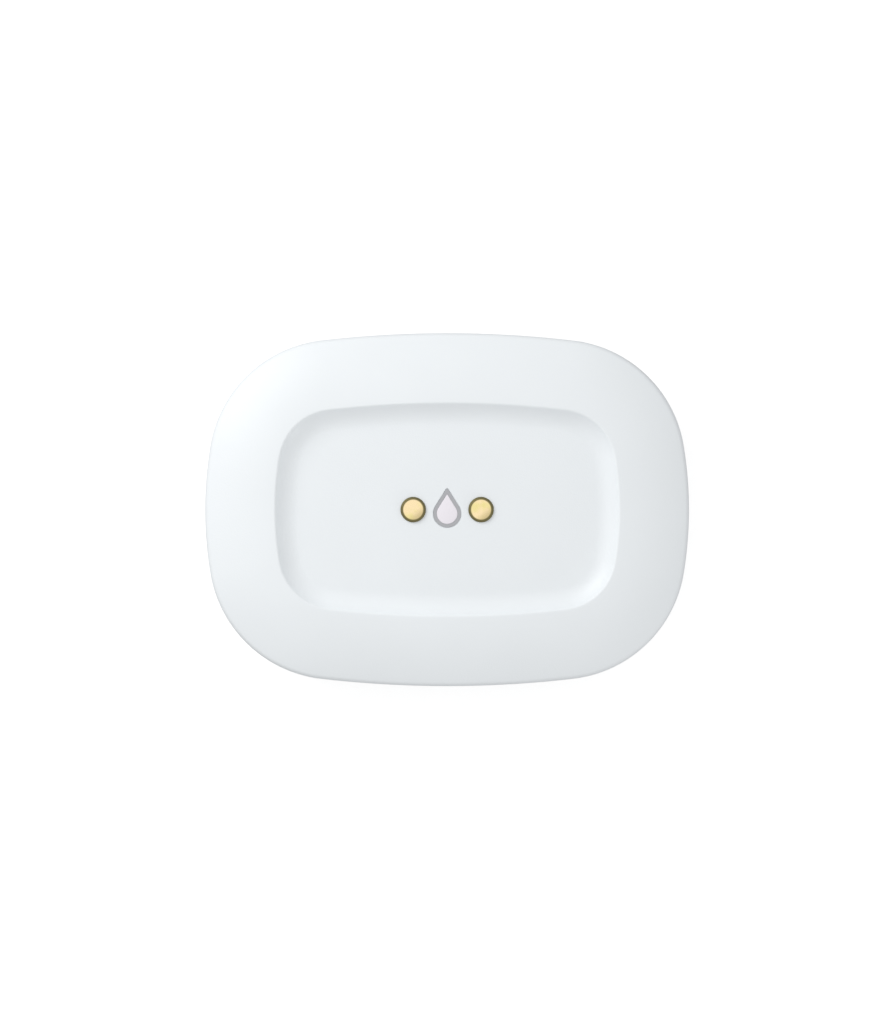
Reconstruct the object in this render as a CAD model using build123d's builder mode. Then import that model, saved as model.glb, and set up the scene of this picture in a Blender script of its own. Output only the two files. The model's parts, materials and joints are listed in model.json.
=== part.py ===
from build123d import *
import math
import os

# Water leak sensor: a white case with rounded ends, a convex rim round a shallow dish, two
# gold contacts and a water-drop light on top, and a battery door and four contact feet below.
# Lengths are in millimetres. X runs along the case, Y across it and Z up. The origin is on the
# floor, under the middle of the case.

os.makedirs("parts", exist_ok=True)

# Case outline, seen from above: long-side, short-side and corner arcs that meet smoothly
case_length = 61.0
case_width = 44.5
case_height = 21.8
long_side_radius = 138.0
short_side_radius = 49.0
corner_radius = 16.0
wall = 1.6

# Rim and dish on top; the slopes are in degrees
rim_width = 8.7
rim_crest_slope = 5.0
rim_edge_slope = 25.0
rim_edge_radius = 0.9
dish_edge_radius = 0.35
dish_wall_width = 2.9
dish_depth = 1.6
dish_floor_thickness = 1.3
dish_join = 0.8

# Seam between the cover and the base
parting_height = 12.7
seam_gap = 0.3
seam_lip = 0.85
seam_lip_height = 1.3
tongue_clearance = 0.1
gasket_thickness = 0.5

# Base
foot_height = 0.6
floor_thickness = 1.4
base_draft = 0.45
bottom_edge_radius = 2.0
base_inner_radius = 0.8
base_ring_width = 6.0

# Clearances and cutting overrun
fit_gap = 0.03
running_gap = 0.15
loose_gap = 0.3
rest_gap = 0.05
overrun = 1.0

# Battery: a 3 volt lithium cell, lying across the case
cell_diameter = 15.6
cell_length = 26.0
cell_edge_radius = 0.5
cell_groove_depth = 0.25
cell_groove_width = 0.8
cell_groove_place = 2.4
nub_diameter = 5.8
nub_height = 1.0
nub_edge_radius = 0.3
battery_x = 14.6

# Battery cradle, contacts and spring
cradle_wall = 0.8
cradle_end_wall = 1.0
cradle_clearance = 0.15
cradle_pad_width = 6.0
spring_room = 2.5
sheet = 0.3
plate_width = 8.0
plate_above_axis = 4.0
lead_height = 1.6
lead_above_board = 0.8
lead_tab_width = 1.6
lead_slot_margin = 0.35
battery_spring_base_radius = 3.2
battery_spring_tip_radius = 1.8
battery_spring_wire = 0.5
battery_spring_turns = 2.5

# Opening for the battery, its frame and the door
opening_clearance = 0.35
opening_end_play = 0.8
opening_corner_radius = 1.85
door_seat = 1.15
door_corner_radius = 3.0
door_seat_gap = 0.1
frame_height = 1.6
frame_wall = 0.8
door_gasket_width = 0.65
door_gasket_height = 0.4
door_gasket_groove = 0.35
door_gasket_margin = 0.1
detent_share = 0.6
detent_spacing = 16.0
detent_length = 2.4
notch_radius = 5.0
notch_depth = 0.9
notch_length = 2.4

# Hinge: a knuckle in the middle of the door, an ear of the base each side, a knuckle at each end
hinge_radius = 1.1
hinge_reach = 1.4
hinge_knuckle_length = 16.0
hinge_ear_length = 2.4
hinge_pin_diameter = 1.0
hinge_pin_grip = 2.2
hinge_slot_share = 0.85

# Circuit board
board_inset = 3.2
board_standoff = 3.5
board_thickness = 1.0
board_edge_gap = 0.25
board_boss_diameter = 3.6
board_hole_diameter = 2.0
board_screw_left_inset = 6.0
board_screw_right_x = 0.4
board_screw_y = 13.5

# Screws: pan heads with a cross recess
screw_diameter = 1.5
screw_head_diameter = 3.0
screw_head_height = 1.1
screw_head_radius = 0.35
screw_recess_depth = 0.6
screw_recess_width = 0.45
screw_recess_length = 1.7
board_screw_length = 4.0
case_screw_length = 9.0
case_screw_inset_x = 7.3
case_screw_inset_y = 10.65
case_screw_sink = 2.4
case_screw_web = 1.2
screw_tower_wall = 1.0
cover_boss_diameter = 4.6

# Snap tabs of the cover at the battery end
tab_spacing = 12.0
tab_width = 4.0
tab_thickness = 1.0
tab_gap = 0.25
tab_length = 4.0
tab_root = 2.5
tab_nose = 0.45
tab_nose_height = 0.8

# Contacts in the dish
drip_contact_spacing = 8.54
drip_head_diameter = 3.2
drip_head_height = 0.35
drip_head_radius = 0.3
drip_shank_diameter = 1.8
drip_shank_tail = 0.9
drip_boss_diameter = 4.8
drip_boss_height = 1.7
drip_seal_diameter = 3.4
drip_seal_depth = 0.9
drip_retainer_diameter = 4.2
drip_retainer_thickness = 0.4
drip_spring_radius = 1.0
drip_spring_wire = 0.3
drip_spring_turns = 7.5

# Water-drop light in the dish: the outline, its recessed stroke and the light pipe
drop_radius = 1.8
drop_round_y = -0.5
drop_tip_y = 2.48
drop_tip_radius = 0.22
drop_stroke = 0.45
drop_stroke_depth = 0.12
drop_flange_width = 2.9
drop_flange_length = 6.8
drop_flange_y = 0.3
drop_flange_thickness = 0.9
light_stem_diameter = 2.8
light_stem_gap = 0.2

# Feet, which are the lower water contacts, and their strips
foot_inset_x = 14.5
foot_inset_y = 5.1
foot_diameter = 3.0
foot_edge_radius = 0.2
foot_shank_diameter = 1.6
foot_peen_diameter = 2.2
foot_peen_height = 0.4
strip_width = 2.2
strip_spring_x = -8.0
strip_spring_radius = 0.8
strip_spring_wire = 0.25
strip_spring_turns = 2.5

# Pairing button and its switch
button_x = -9.0
button_diameter = 4.0
button_recess = 0.3
button_flange_diameter = 5.6
button_flange_height = 0.6
button_stem_diameter = 2.0
button_gap = 0.2
button_seal_width = 0.4
button_seal_height = 0.4
switch_size = 5.2
switch_height = 1.5
plunger_diameter = 2.4
plunger_height = 0.4
plunger_depth = 0.6
switch_bore_depth = 1.0

# Parts on the board
shield_length = 12.0
shield_width = 9.0
shield_height = 1.8
shield_sheet = 0.2
shield_x = -14.0
shield_y = 5.0
chip_size = 6.0
chip_height = 0.9
antenna_length = 9.0
antenna_width = 2.2
antenna_height = 1.2
antenna_x = -13.0
antenna_y = -14.5
crystal_length = 3.2
crystal_width = 1.5
crystal_height = 0.8
crystal_x = -4.5
crystal_y = 6.0
regulator_size = 3.0
regulator_height = 1.1
regulator_x = -4.5
regulator_y = -6.5
thermometer_size = 2.0
thermometer_height = 0.8
thermometer_x = -20.5
thermometer_y = -4.5
capacitor_length = 1.6
capacitor_width = 0.8
capacitor_height = 0.8
capacitor_pitch_x = 2.6
capacitor_pitch_y = 2.2
capacitor_x = -13.0
capacitor_y = -6.0
led_length = 3.0
led_width = 1.5
led_height = 0.8
small_edge = 0.15

# Heights that follow from the sizes above
half_length = case_length / 2
half_width = case_width / 2
floor_top = foot_height + floor_thickness
skirt_bottom = parting_height + seam_gap
seam_floor = parting_height - seam_lip_height
tongue_bottom = seam_floor + gasket_thickness
tongue_inset = seam_lip + tongue_clearance
dish_floor = case_height - dish_depth
dish_underside = dish_floor - dish_floor_thickness
board_bottom = floor_top + board_standoff
board_top = board_bottom + board_thickness
frame_top = floor_top + frame_height
battery_z = floor_top + cradle_clearance + cell_diameter / 2

# Places that follow from the sizes above
compartment_length = cell_length + nub_height + spring_room + 2 * sheet
plate_y = compartment_length / 2 - sheet
nub_y = plate_y - nub_height
cell_y = nub_y - cell_length
cradle_inner_radius = cell_diameter / 2 + cradle_clearance
cradle_outer_radius = cradle_inner_radius + cradle_wall
cradle_left = battery_x - cradle_outer_radius
board_right = cradle_left - board_edge_gap
opening_half_width = cell_diameter / 2 + opening_clearance
opening_half_length = cell_length / 2 + opening_end_play
door_half_width = opening_half_width + door_seat
door_half_length = opening_half_length + door_seat
door_left = battery_x - door_half_width
door_right = battery_x + door_half_width
door_top = floor_top
door_ledge = floor_top + door_seat_gap
hinge_x = door_left - hinge_reach
hinge_z = foot_height + hinge_radius
hinge_pocket_radius = hinge_radius + running_gap
hinge_ear_start = hinge_knuckle_length / 2 + running_gap
hinge_ear_end = hinge_ear_start + hinge_ear_length
hinge_pin_half_length = hinge_ear_end + running_gap + hinge_pin_grip
frame_left = hinge_x - hinge_pocket_radius - frame_wall
frame_right = door_right + running_gap + frame_wall
frame_half_length = door_half_length + running_gap + frame_wall
contact_places = [(-drip_contact_spacing / 2, 0), (drip_contact_spacing / 2, 0)]
boss_bottom = dish_underside - drip_boss_height
case_screw_x = -(half_length - case_screw_inset_x)
case_screw_y = half_width - case_screw_inset_y
case_screw_places = [(case_screw_x, -case_screw_y), (case_screw_x, case_screw_y)]
case_screw_seat = foot_height + case_screw_sink
screw_tower_top = case_screw_seat + case_screw_web
screw_pocket_diameter = screw_head_diameter + 2 * loose_gap
board_screw_places = [
    (-(half_length - board_screw_left_inset), 0),
    (board_screw_right_x, -board_screw_y),
    (board_screw_right_x, board_screw_y),
]
foot_x = half_length - foot_inset_x
foot_y = half_width - foot_inset_y

# Case outline: centres of its arcs and the directions in which they meet, in degrees
long_centre = Vector(0, half_width - long_side_radius)
short_centre = Vector(half_length - short_side_radius, 0)
long_reach = long_side_radius - corner_radius
short_reach = short_side_radius - corner_radius
centre_line = short_centre - long_centre
centre_aside = Vector(centre_line.Y, -centre_line.X).normalized()
corner_along = (long_reach**2 - short_reach**2 + centre_line.length**2) / (2 * centre_line.length)
corner_aside = math.sqrt(long_reach**2 - corner_along**2)
corner_centre = long_centre + centre_line.normalized() * corner_along + centre_aside * corner_aside
short_joint = math.degrees(math.atan2(corner_centre.Y, corner_centre.X - short_centre.X))
long_joint = math.degrees(math.atan2(corner_centre.Y - long_centre.Y, corner_centre.X))

# Rim and dish section: centres of its arcs, in the X and Z of the right-hand end
crest = math.radians(rim_crest_slope)
edge = math.radians(rim_edge_slope)
rim_radius = (
    rim_width
    - rim_edge_radius * (1 - math.sin(edge))
    - dish_edge_radius * math.sin(crest)
) / (math.sin(edge) - math.sin(crest))
dish_edge_centre = Vector(half_length - rim_width, case_height - dish_edge_radius)
rim_centre = dish_edge_centre - Vector(math.sin(crest), math.cos(crest)) * (rim_radius - dish_edge_radius)
rim_edge_centre = rim_centre + Vector(math.sin(edge), math.cos(edge)) * (rim_radius - rim_edge_radius)
dish_lip = dish_depth - dish_edge_radius
dish_wall_radius = (dish_wall_width**2 + dish_lip**2 - dish_edge_radius**2) / (2 * dish_depth)
dish_foot_x = half_length - rim_width - dish_wall_width
dish_wall_centre = Vector(dish_foot_x, dish_floor + dish_wall_radius)
dish_wall_angle = math.degrees(
    math.atan2(dish_wall_centre.Y - dish_edge_centre.Y, dish_wall_centre.X - dish_edge_centre.X)
)
rim_inner_radius = rim_radius - wall
inner_skirt_cosine = (half_length - wall - rim_centre.X) / rim_inner_radius
inner_rim_cosine = (half_length - rim_width - rim_centre.X) / rim_inner_radius
inner_skirt_angle = math.degrees(math.acos(inner_skirt_cosine))
inner_rim_angle = math.degrees(math.acos(inner_rim_cosine))


def outline(inset=0):
    """Return the closed outline of the case, moved inwards by an inset."""
    with BuildLine() as loop:
        CenterArc(short_centre, short_side_radius - inset, 0, short_joint)
        CenterArc(corner_centre, corner_radius - inset, short_joint, long_joint - short_joint)
        CenterArc(long_centre, long_side_radius - inset, long_joint, 90 - long_joint)
        mirror(loop.line, about=Plane.YZ)
        mirror(loop.line, about=Plane.XZ)
    return loop.wire()


def drop_outline(inset=0):
    """Return the closed water-drop outline, moved inwards by an inset; the tip turns sharp inside."""
    lean = math.asin((drop_radius - drop_tip_radius) / (drop_tip_y - drop_round_y))
    side = Vector(math.cos(lean), math.sin(lean))
    round_radius = drop_radius - inset
    tip_radius = drop_tip_radius - inset
    round_right = Vector(0, drop_round_y) + side * round_radius
    round_left = Vector(-round_right.X, round_right.Y)
    with BuildLine() as loop:
        ThreePointArc(round_left, (0, drop_round_y - round_radius), round_right)
        if tip_radius > 0:
            tip_right = Vector(0, drop_tip_y) + side * tip_radius
            tip_left = Vector(-tip_right.X, tip_right.Y)
            Line(round_right, tip_right)
            ThreePointArc(tip_right, (0, drop_tip_y + tip_radius), tip_left)
            Line(tip_left, round_left)
        else:
            apex = Vector(0, drop_tip_y + tip_radius / math.sin(lean))
            Polyline(round_right, apex, round_left)
    return loop.wire()


def coil_route(start_radius, end_radius, length, turns):
    """Return points and directions, one each half turn, of a coil that climbs along Z."""
    half_turns = round(2 * turns)
    route = []
    for index in range(half_turns + 1):
        share = index / half_turns
        angle = math.pi * index
        radius = start_radius + (end_radius - start_radius) * share
        widening = (end_radius - start_radius) / (math.pi * half_turns)
        climb = length / (math.pi * half_turns)
        point = Vector(radius * math.cos(angle), radius * math.sin(angle), length * share)
        direction = Vector(
            widening * math.cos(angle) - radius * math.sin(angle),
            widening * math.sin(angle) + radius * math.cos(angle),
            climb,
        )
        route.append((point, direction.normalized()))
    return route


def coil_line(start_radius, end_radius, length, turns, place):
    """Return the centre line of a coil at a place: two arcs for each half turn."""
    route = [
        (place * Pos(*point)).position for point, direction in
        coil_route(start_radius, end_radius, length, turns)
    ]
    origin = place.position
    directions = [
        (place * Pos(*direction)).position - origin for point, direction in
        coil_route(start_radius, end_radius, length, turns)
    ]
    with BuildLine() as coil:
        for start, end, leave, arrive in zip(route, route[1:], directions, directions[1:]):
            chord = end - start
            both = leave + arrive
            square = both.dot(both) - 4
            linear = chord.dot(both)
            reach = (linear - math.sqrt(linear**2 - square * chord.dot(chord))) / square
            bend = (start + leave * reach + end - arrive * reach) / 2
            TangentArc(start, bend, tangent=leave)
            TangentArc(bend, end, tangent=end - arrive * reach - bend)
    return coil.line


def least_gap(line, wire, turns):
    """Return the least clear gap between one turn of a coil and the next."""
    steps = round(24 * turns)
    points = [line @ (index / steps) for index in range(steps + 1)]
    skip = 16
    return min(
        (points[later] - points[first]).length - wire
        for first in range(len(points))
        for later in range(first + skip, len(points))
    )


# Top cover: swept rim and skirt, dish floor, bosses and snap tabs
tab_outer = wall + tab_gap
tab_inner = tab_outer + tab_thickness
tab_bottom = skirt_bottom - tab_length
tab_nose_outer = tab_outer - tab_nose
with BuildPart() as top_cover:
    with BuildSketch(Plane.XZ):
        with BuildLine():
            Line((half_length, skirt_bottom), (half_length, rim_edge_centre.Y))
            CenterArc(rim_edge_centre, rim_edge_radius, 0, 90 - rim_edge_slope)
            CenterArc(rim_centre, rim_radius, 90 - rim_edge_slope, rim_edge_slope - rim_crest_slope)
            CenterArc(
                dish_edge_centre,
                dish_edge_radius,
                90 - rim_crest_slope,
                dish_wall_angle - 90 + rim_crest_slope,
            )
            CenterArc(dish_wall_centre, dish_wall_radius, dish_wall_angle + 180, 90 - dish_wall_angle)
            Polyline(
                (dish_foot_x, dish_floor),
                (dish_foot_x - dish_join, dish_floor),
                (dish_foot_x - dish_join, dish_underside),
                (half_length - rim_width, dish_underside),
                rim_centre + Vector(inner_rim_cosine, math.sin(math.acos(inner_rim_cosine))) * rim_inner_radius,
            )
            CenterArc(rim_centre, rim_inner_radius, inner_rim_angle, inner_skirt_angle - inner_rim_angle)
            Polyline(
                rim_centre + Vector(inner_skirt_cosine, math.sin(math.acos(inner_skirt_cosine))) * rim_inner_radius,
                (half_length - wall, tongue_bottom),
                (half_length - tongue_inset, tongue_bottom),
                (half_length - tongue_inset, skirt_bottom),
                (half_length, skirt_bottom),
            )
        make_face()
    sweep(path=outline())
    with BuildSketch(Plane.XY.offset(dish_underside)):
        make_face(outline(rim_width + dish_wall_width + dish_join / 2))
    extrude(amount=dish_floor_thickness)
    # Bosses under the two contacts, each bored for a shank and sunk for a seal
    with BuildSketch(Plane.XY.offset(dish_underside)):
        with Locations(*contact_places):
            Circle(drip_boss_diameter / 2)
    extrude(amount=-drip_boss_height)
    with BuildSketch(Plane.XY.offset(boss_bottom)):
        with Locations(*contact_places):
            Circle(drip_shank_diameter / 2 + fit_gap)
    extrude(amount=drip_boss_height + dish_floor_thickness + overrun, mode=Mode.SUBTRACT)
    with BuildSketch(Plane.XY.offset(boss_bottom)):
        with Locations(*contact_places):
            Circle(drip_seal_diameter / 2)
    extrude(amount=drip_seal_depth, mode=Mode.SUBTRACT)
    # Water-drop window with a recessed stroke round it
    with BuildSketch(Plane.XY.offset(dish_floor)):
        make_face(drop_outline(drop_stroke))
    extrude(amount=-dish_floor_thickness, mode=Mode.SUBTRACT)
    with BuildSketch(Plane.XY.offset(dish_floor)):
        make_face(drop_outline())
    extrude(amount=-drop_stroke_depth, mode=Mode.SUBTRACT)
    # Bosses for the case screws
    with BuildSketch(Plane.XY.offset(screw_tower_top)):
        with Locations(*case_screw_places):
            Circle(cover_boss_diameter / 2)
    extrude(amount=dish_floor - screw_tower_top)
    with BuildSketch(Plane.XY.offset(screw_tower_top)):
        with Locations(*case_screw_places):
            Circle(screw_diameter / 2 + fit_gap)
    extrude(amount=case_screw_length, mode=Mode.SUBTRACT)
    # Snap tabs that reach down inside the base at the battery end
    for side in (-1, 1):
        with BuildSketch(Plane.XY.offset(skirt_bottom)):
            make_face(outline(wall / 2))
            make_face(outline(tab_inner), mode=Mode.SUBTRACT)
            with Locations((0, side * tab_spacing / 2)):
                Rectangle(half_length, tab_width, align=(Align.MIN, Align.CENTER), mode=Mode.INTERSECT)
        extrude(amount=tab_root)
        with BuildSketch(Plane.XY.offset(tab_bottom)):
            make_face(outline(tab_outer))
            make_face(outline(tab_inner), mode=Mode.SUBTRACT)
            with Locations((0, side * tab_spacing / 2)):
                Rectangle(half_length, tab_width, align=(Align.MIN, Align.CENTER), mode=Mode.INTERSECT)
        extrude(amount=tab_length)
        with BuildSketch(Plane.XY.offset(tab_bottom)):
            make_face(outline(tab_nose_outer))
            make_face(outline(tab_inner), mode=Mode.SUBTRACT)
            with Locations((0, side * tab_spacing / 2)):
                Rectangle(half_length, tab_width, align=(Align.MIN, Align.CENTER), mode=Mode.INTERSECT)
        extrude(amount=tab_nose_height)
top_cover.part.label = "top_cover"
export_step(top_cover.part, "parts/top_cover.step")

# Bottom base: swept wall with a seam lip, floor, battery frame, bosses and holes
with BuildPart() as bottom_base:
    with BuildSketch(Plane.XZ) as base_section:
        with BuildLine():
            Polyline(
                (half_length, parting_height),
                (half_length - base_draft, foot_height),
                (half_length - base_ring_width, foot_height),
                (half_length - base_ring_width, floor_top),
                (half_length - base_draft - wall, floor_top),
                (half_length - wall, seam_floor),
                (half_length - seam_lip, seam_floor),
                (half_length - seam_lip, parting_height),
                close=True,
            )
        make_face()
        lower = base_section.vertices().group_by(Axis.Y)[0].sort_by(Axis.X)[-1]
        fillet(lower, bottom_edge_radius)
        inner = base_section.vertices().filter_by(
            lambda corner: abs(corner.X - half_length + base_draft + wall) < fit_gap
            and abs(corner.Y - floor_top) < fit_gap
        )
        fillet(inner, base_inner_radius)
    sweep(path=outline())
    with BuildSketch(Plane.XY.offset(foot_height)):
        make_face(outline(base_ring_width - base_inner_radius))
    extrude(amount=floor_thickness)
    # Raised frame round the battery opening and over the hinge
    with BuildSketch(Plane.XY.offset(floor_top)):
        with Locations((frame_right, 0)):
            RectangleRounded(
                frame_right - frame_left,
                2 * frame_half_length,
                door_corner_radius,
                align=(Align.MAX, Align.CENTER),
            )
    extrude(amount=frame_height)
    # Bosses under the board and towers over the case screw heads
    with BuildSketch(Plane.XY.offset(floor_top)):
        with Locations(*board_screw_places):
            Circle(board_boss_diameter / 2)
    extrude(amount=board_standoff)
    with BuildSketch(Plane.XY.offset(floor_top)):
        with Locations(*case_screw_places):
            Circle(screw_pocket_diameter / 2 + screw_tower_wall)
    extrude(amount=screw_tower_top - floor_top)
    # Seat of the door and the opening that the battery passes through
    with BuildSketch(Plane.XY.offset(foot_height)) as seat_plan:
        with Locations((door_right + running_gap, 0)):
            Rectangle(
                door_right + running_gap - hinge_x,
                2 * (door_half_length + running_gap),
                align=(Align.MAX, Align.CENTER),
            )
        fillet(seat_plan.vertices().group_by(Axis.X)[-1], door_corner_radius + running_gap)
    extrude(amount=door_ledge - foot_height, mode=Mode.SUBTRACT)
    with BuildSketch(Plane.XY.offset(foot_height)):
        with Locations((battery_x, 0)):
            RectangleRounded(2 * opening_half_width, 2 * opening_half_length, opening_corner_radius)
    extrude(amount=floor_thickness + frame_height, mode=Mode.SUBTRACT)
    # Pocket for the knuckles, with two ears left in it and a slot that the pin snaps into
    with BuildSketch(Plane.XZ):
        with Locations((hinge_x, hinge_z)):
            Circle(hinge_pocket_radius)
        with Locations((hinge_x, 0)):
            Rectangle(2 * hinge_pocket_radius, hinge_z, align=(Align.CENTER, Align.MIN))
    extrude(amount=door_half_length + running_gap, both=True, mode=Mode.SUBTRACT)
    for ear_y in (-hinge_ear_end, hinge_ear_start):
        with BuildSketch(Plane.XZ.offset(-ear_y)):
            with Locations((hinge_x, hinge_z)):
                Circle(hinge_radius)
                Rectangle(2 * hinge_radius, frame_top - hinge_z, align=(Align.CENTER, Align.MIN))
        extrude(amount=-hinge_ear_length)
    with BuildSketch(Plane.XZ):
        with Locations((hinge_x, hinge_z)):
            Circle(hinge_pin_diameter / 2 + fit_gap)
        with Locations((hinge_x, 0)):
            Rectangle(hinge_slot_share * hinge_pin_diameter, hinge_z, align=(Align.CENTER, Align.MIN))
    extrude(amount=hinge_ear_end, both=True, mode=Mode.SUBTRACT)
    # Nail notch beside the free edge of the door
    with BuildSketch(Plane.YZ.offset(door_right)):
        with Locations((0, foot_height + notch_depth - notch_radius)):
            Circle(notch_radius)
    extrude(amount=notch_length, mode=Mode.SUBTRACT)
    # Screw holes: blind in the board bosses, sunk through the towers
    with BuildSketch(Plane.XY.offset(board_bottom)):
        with Locations(*board_screw_places):
            Circle(screw_diameter / 2 + fit_gap)
    extrude(amount=-board_screw_length, mode=Mode.SUBTRACT)
    with BuildSketch(Plane.XY.offset(foot_height)):
        with Locations(*case_screw_places):
            Circle(screw_pocket_diameter / 2)
    extrude(amount=case_screw_sink, mode=Mode.SUBTRACT)
    with BuildSketch(Plane.XY.offset(foot_height)):
        with Locations(*case_screw_places):
            Circle(board_hole_diameter / 2)
    extrude(amount=screw_tower_top, mode=Mode.SUBTRACT)
    # Holes for the feet and the pairing button
    with BuildSketch(Plane.XY.offset(foot_height)):
        with GridLocations(2 * foot_x, 2 * foot_y, 2, 2):
            Circle(foot_shank_diameter / 2 + fit_gap)
        with Locations((button_x, 0)):
            Circle(button_diameter / 2 + button_gap)
    extrude(amount=floor_thickness, mode=Mode.SUBTRACT)
    # Pockets in the wall for the noses of the snap tabs
    for side in (-1, 1):
        with BuildSketch(Plane.XY.offset(tab_bottom - running_gap)):
            make_face(outline(tab_nose_outer - running_gap))
            make_face(outline(tab_inner), mode=Mode.SUBTRACT)
            with Locations((0, side * tab_spacing / 2)):
                Rectangle(
                    half_length,
                    tab_width + 2 * running_gap,
                    align=(Align.MIN, Align.CENTER),
                    mode=Mode.INTERSECT,
                )
        extrude(amount=tab_nose_height + 2 * running_gap, mode=Mode.SUBTRACT)
bottom_base.part.label = "bottom_base"
export_step(bottom_base.part, "parts/bottom_base.step")

# Case gasket: a flat ring in the seam, under the tongue of the cover
with BuildPart() as case_gasket:
    with BuildSketch(Plane.XY.offset(seam_floor)):
        make_face(outline(tongue_inset))
        make_face(outline(wall), mode=Mode.SUBTRACT)
    extrude(amount=gasket_thickness)
case_gasket.part.label = "case_gasket"
export_step(case_gasket.part, "parts/case_gasket.step")

# Battery door: a plate with three hinge knuckles, a gasket groove and two detents on its free edge
gasket_inner_half_width = opening_half_width + door_gasket_margin
gasket_inner_half_length = opening_half_length + door_gasket_margin
gasket_inner_radius = opening_corner_radius + door_gasket_margin
gasket_outer_half_width = gasket_inner_half_width + door_gasket_width
gasket_outer_half_length = gasket_inner_half_length + door_gasket_width
gasket_outer_radius = gasket_inner_radius + door_gasket_width
gasket_bottom = door_top - door_gasket_groove
with BuildPart() as battery_door:
    with BuildSketch(Plane.XY.offset(foot_height)) as door_plan:
        with Locations((door_right, 0)):
            Rectangle(door_right - hinge_x, 2 * door_half_length, align=(Align.MAX, Align.CENTER))
        fillet(door_plan.vertices().group_by(Axis.X)[-1], door_corner_radius)
    extrude(amount=floor_thickness)
    with BuildSketch(Plane.XZ):
        with Locations((hinge_x, hinge_z)):
            Circle(hinge_radius)
    extrude(amount=door_half_length, both=True)
    with BuildSketch(Plane.XZ):
        with Locations((hinge_x, hinge_z)):
            Circle(hinge_pin_diameter / 2 + fit_gap)
    extrude(amount=door_half_length, both=True, mode=Mode.SUBTRACT)
    for ear_y in (-hinge_ear_end, hinge_ear_start):
        with BuildSketch(Plane.XZ.offset(running_gap - ear_y)):
            with Locations((hinge_x, hinge_z)):
                Circle(hinge_pocket_radius)
        extrude(amount=-hinge_ear_length - 2 * running_gap, mode=Mode.SUBTRACT)
    with BuildSketch(Plane.XY.offset(gasket_bottom)):
        with Locations((battery_x, 0)):
            RectangleRounded(
                2 * gasket_outer_half_width,
                2 * gasket_outer_half_length,
                gasket_outer_radius,
            )
            RectangleRounded(
                2 * gasket_inner_half_width,
                2 * gasket_inner_half_length,
                gasket_inner_radius,
                mode=Mode.SUBTRACT,
            )
    extrude(amount=door_gasket_groove, mode=Mode.SUBTRACT)
    detent_z = foot_height + floor_thickness / 2
    detent_places = [(door_right, side * detent_spacing / 2, detent_z) for side in (-1, 1)]
    with Locations(*detent_places):
        Cylinder(detent_share * running_gap, detent_length, rotation=(90, 0, 0))
battery_door.part.label = "battery_door"
export_step(battery_door.part, "parts/battery_door.step")

# Door gasket: a soft ring in the groove of the door, just under the frame
with BuildPart() as door_gasket:
    with BuildSketch(Plane.XY.offset(gasket_bottom)):
        with Locations((battery_x, 0)):
            RectangleRounded(
                2 * gasket_outer_half_width,
                2 * gasket_outer_half_length,
                gasket_outer_radius,
            )
            RectangleRounded(
                2 * gasket_inner_half_width,
                2 * gasket_inner_half_length,
                gasket_inner_radius,
                mode=Mode.SUBTRACT,
            )
    extrude(amount=door_gasket_height)
door_gasket.part.label = "door_gasket"
export_step(door_gasket.part, "parts/door_gasket.step")

# Hinge pin: held in the ears of the base, with the door's knuckles round it
with BuildPart() as hinge_pin:
    with BuildSketch(Plane.XZ):
        with Locations((hinge_x, hinge_z)):
            Circle(hinge_pin_diameter / 2)
    extrude(amount=hinge_pin_half_length, both=True)
    chamfer(hinge_pin.edges(), small_edge)
hinge_pin.part.label = "hinge_pin"
export_step(hinge_pin.part, "parts/hinge_pin.step")

# Battery: the can with its crimped groove, and the raised positive cap
with BuildPart() as battery_cell:
    with BuildSketch(Plane.XZ.offset(-cell_y)):
        with Locations((battery_x, battery_z)):
            Circle(cell_diameter / 2)
    extrude(amount=-cell_length)
    fillet(battery_cell.edges(), cell_edge_radius)
    with BuildSketch(Plane.XZ.offset(-nub_y + cell_groove_place)):
        with Locations((battery_x, battery_z)):
            Circle(cell_diameter / 2)
            Circle(cell_diameter / 2 - cell_groove_depth, mode=Mode.SUBTRACT)
    extrude(amount=cell_groove_width, mode=Mode.SUBTRACT)
battery_cell.part.label = "battery_cell"
export_step(battery_cell.part, "parts/battery_cell.step")

with BuildPart() as battery_positive_cap:
    with BuildSketch(Plane.XZ.offset(-nub_y)):
        with Locations((battery_x, battery_z)):
            Circle(nub_diameter / 2)
    extrude(amount=-nub_height)
    fillet(battery_positive_cap.edges().sort_by(Axis.Y)[-1], nub_edge_radius)
battery_positive_cap.part.label = "battery_positive_cap"
export_step(battery_positive_cap.part, "parts/battery_positive_cap.step")

# Battery contacts: a sheet plate at each end, with a lead and a tab down to the board
plate_left = battery_x - plate_width / 2
tab_left = board_right - lead_tab_width - board_edge_gap
lead_bottom = board_top + lead_above_board
lead_top = lead_bottom + lead_height
for face_y, node in (
    (-plate_y - sheet, "battery_contact_negative"),
    (plate_y, "battery_contact_positive"),
):
    with BuildPart() as battery_contact:
        with BuildSketch(Plane.XZ.offset(-face_y)):
            with Locations((plate_left, frame_top)):
                Rectangle(
                    plate_width,
                    battery_z + plate_above_axis - frame_top,
                    align=(Align.MIN, Align.MIN),
                )
            with Locations((tab_left, lead_bottom)):
                Rectangle(plate_left - tab_left, lead_height, align=(Align.MIN, Align.MIN))
            with Locations((tab_left, board_top)):
                Rectangle(lead_tab_width, lead_top - board_top, align=(Align.MIN, Align.MIN))
        extrude(amount=-sheet)
    battery_contact.part.label = node
    export_step(battery_contact.part, "parts/" + node + ".step")

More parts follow.
